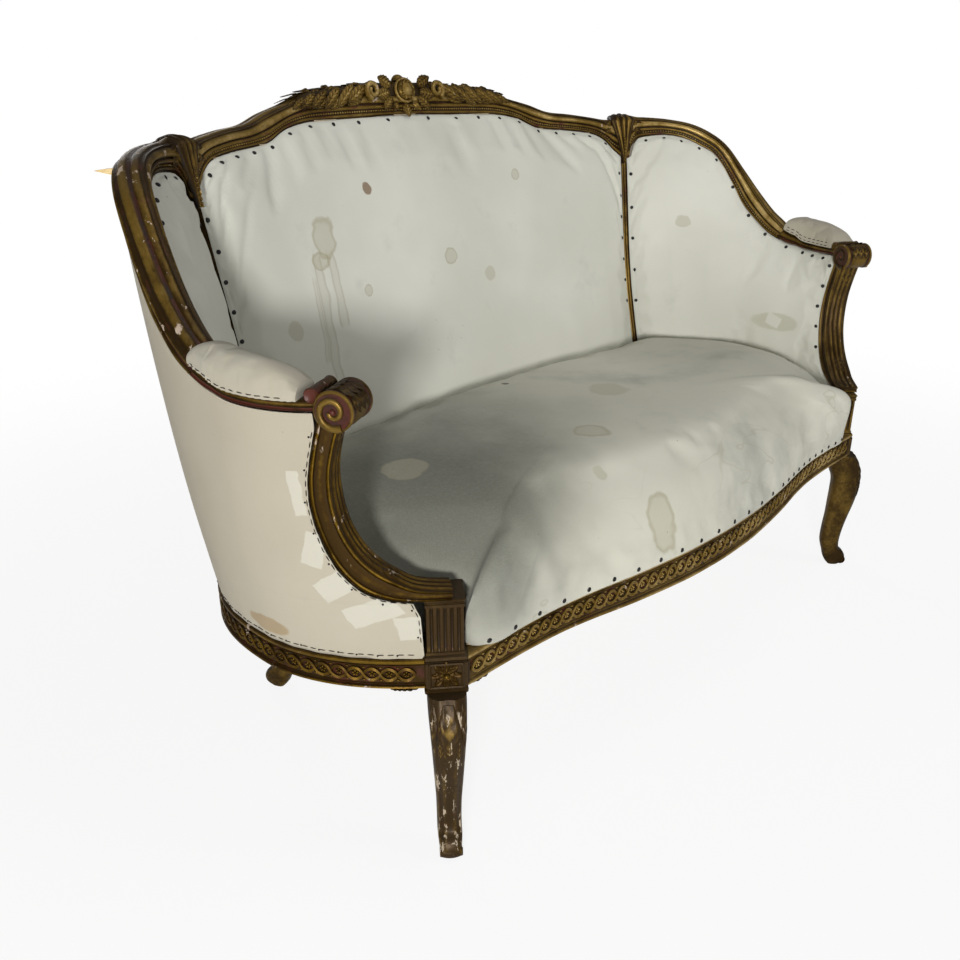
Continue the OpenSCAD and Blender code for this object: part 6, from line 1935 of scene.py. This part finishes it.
# Finishes of the CAD pieces that stay as they are
keptFinishes = {
    "seat_cross_rails": innerWood, "lower_back_rail": innerWood, "left_lower_wing_rail": innerWood,
    "right_lower_wing_rail": innerWood, "left_crest_wedge": rawWood,
}
for name, finish in keptFinishes.items():
    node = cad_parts[name]
    node.data.materials.clear()
    node.data.materials.append(finish)
print("kept pieces finished")

# Floor, sky and lamps
stageSettings = {"floor": (0.95, 0.95, 0.95), "ambient": 0.13, "keyPower": 140, "fillPower": 20,
                 "topPower": 14,
                 "backPower": 34}


def makeStage(s):
    floor = Finish(bpy.data.materials.new("paleFloor"))
    rays = floor.node("ShaderNodeLightPath", {}, {}, "Is Camera Ray")
    diffuse = floor.node("ShaderNodeBsdfDiffuse", {}, {"Color": (*s["floor"], 1)})
    glow = floor.node("ShaderNodeEmission", {}, {"Color": (1, 1, 1, 1), "Strength": 1.0})
    away = floor.ease(floor.near((0, 0, 0)), 0.9, 2.6)
    floor.show(floor.node("ShaderNodeMixShader", {}, {0: rays * (0.87 + 0.13 * away), 1: diffuse, 2: glow}))
    mesh = bpy.data.meshes.new("floor")
    mesh.from_pydata([(-14, -14, 0), (14, -14, 0), (14, 14, 0), (-14, 14, 0)], [], [(0, 1, 2, 3)])
    ground = bpy.data.objects.new("floor", mesh)
    scene.collection.objects.link(ground)
    mesh.materials.append(floor.owner)
    # The camera sees a white sky, the sofa gets its dim light
    sky = Finish(bpy.data.worlds.new("studio"), "ShaderNodeOutputWorld")
    seen, through = (sky.node("ShaderNodeLightPath", {}, {}, ray)
                     for ray in ("Is Camera Ray", "Is Transmission Ray"))
    dim, white = (sky.node("ShaderNodeBackground", {}, {"Color": (1, 1, 1, 1), "Strength": strength})
                  for strength in (s["ambient"], 1.0))
    scene.world = sky.show(sky.node("ShaderNodeMixShader", {}, {0: seen.most(through), 1: dim, 2: white}))


def softLight(name, place, target, size, power):
    data = bpy.data.lights.new(name, "AREA")
    data.shape, data.size, data.energy = "DISK", size, power
    lamp = bpy.data.objects.new(name, data)
    scene.collection.objects.link(lamp)
    lamp.location = place
    lamp.rotation_mode = "QUATERNION"
    lamp.rotation_quaternion = (Vector(target) - Vector(place)).to_track_quat("-Z", "Y")


makeStage(stageSettings)
softLight("keyLight", (-3.5, -2.7, 1.22), (0, 0, 0.5), 0.55, stageSettings["keyPower"])
softLight("fillLight", (1.6, -3.1, 2.0), (0.1, 0, 0.45), 1.2, stageSettings["fillPower"])
softLight("topLight", (0.4, -0.6, 3.2), (0.1, 0, 0.4), 1.6, stageSettings["topPower"])
softLight("backLight", (0.9, 3.6, 1.7), (0, 0.2, 0.5), 1.6, stageSettings["backPower"])
print("stage made")
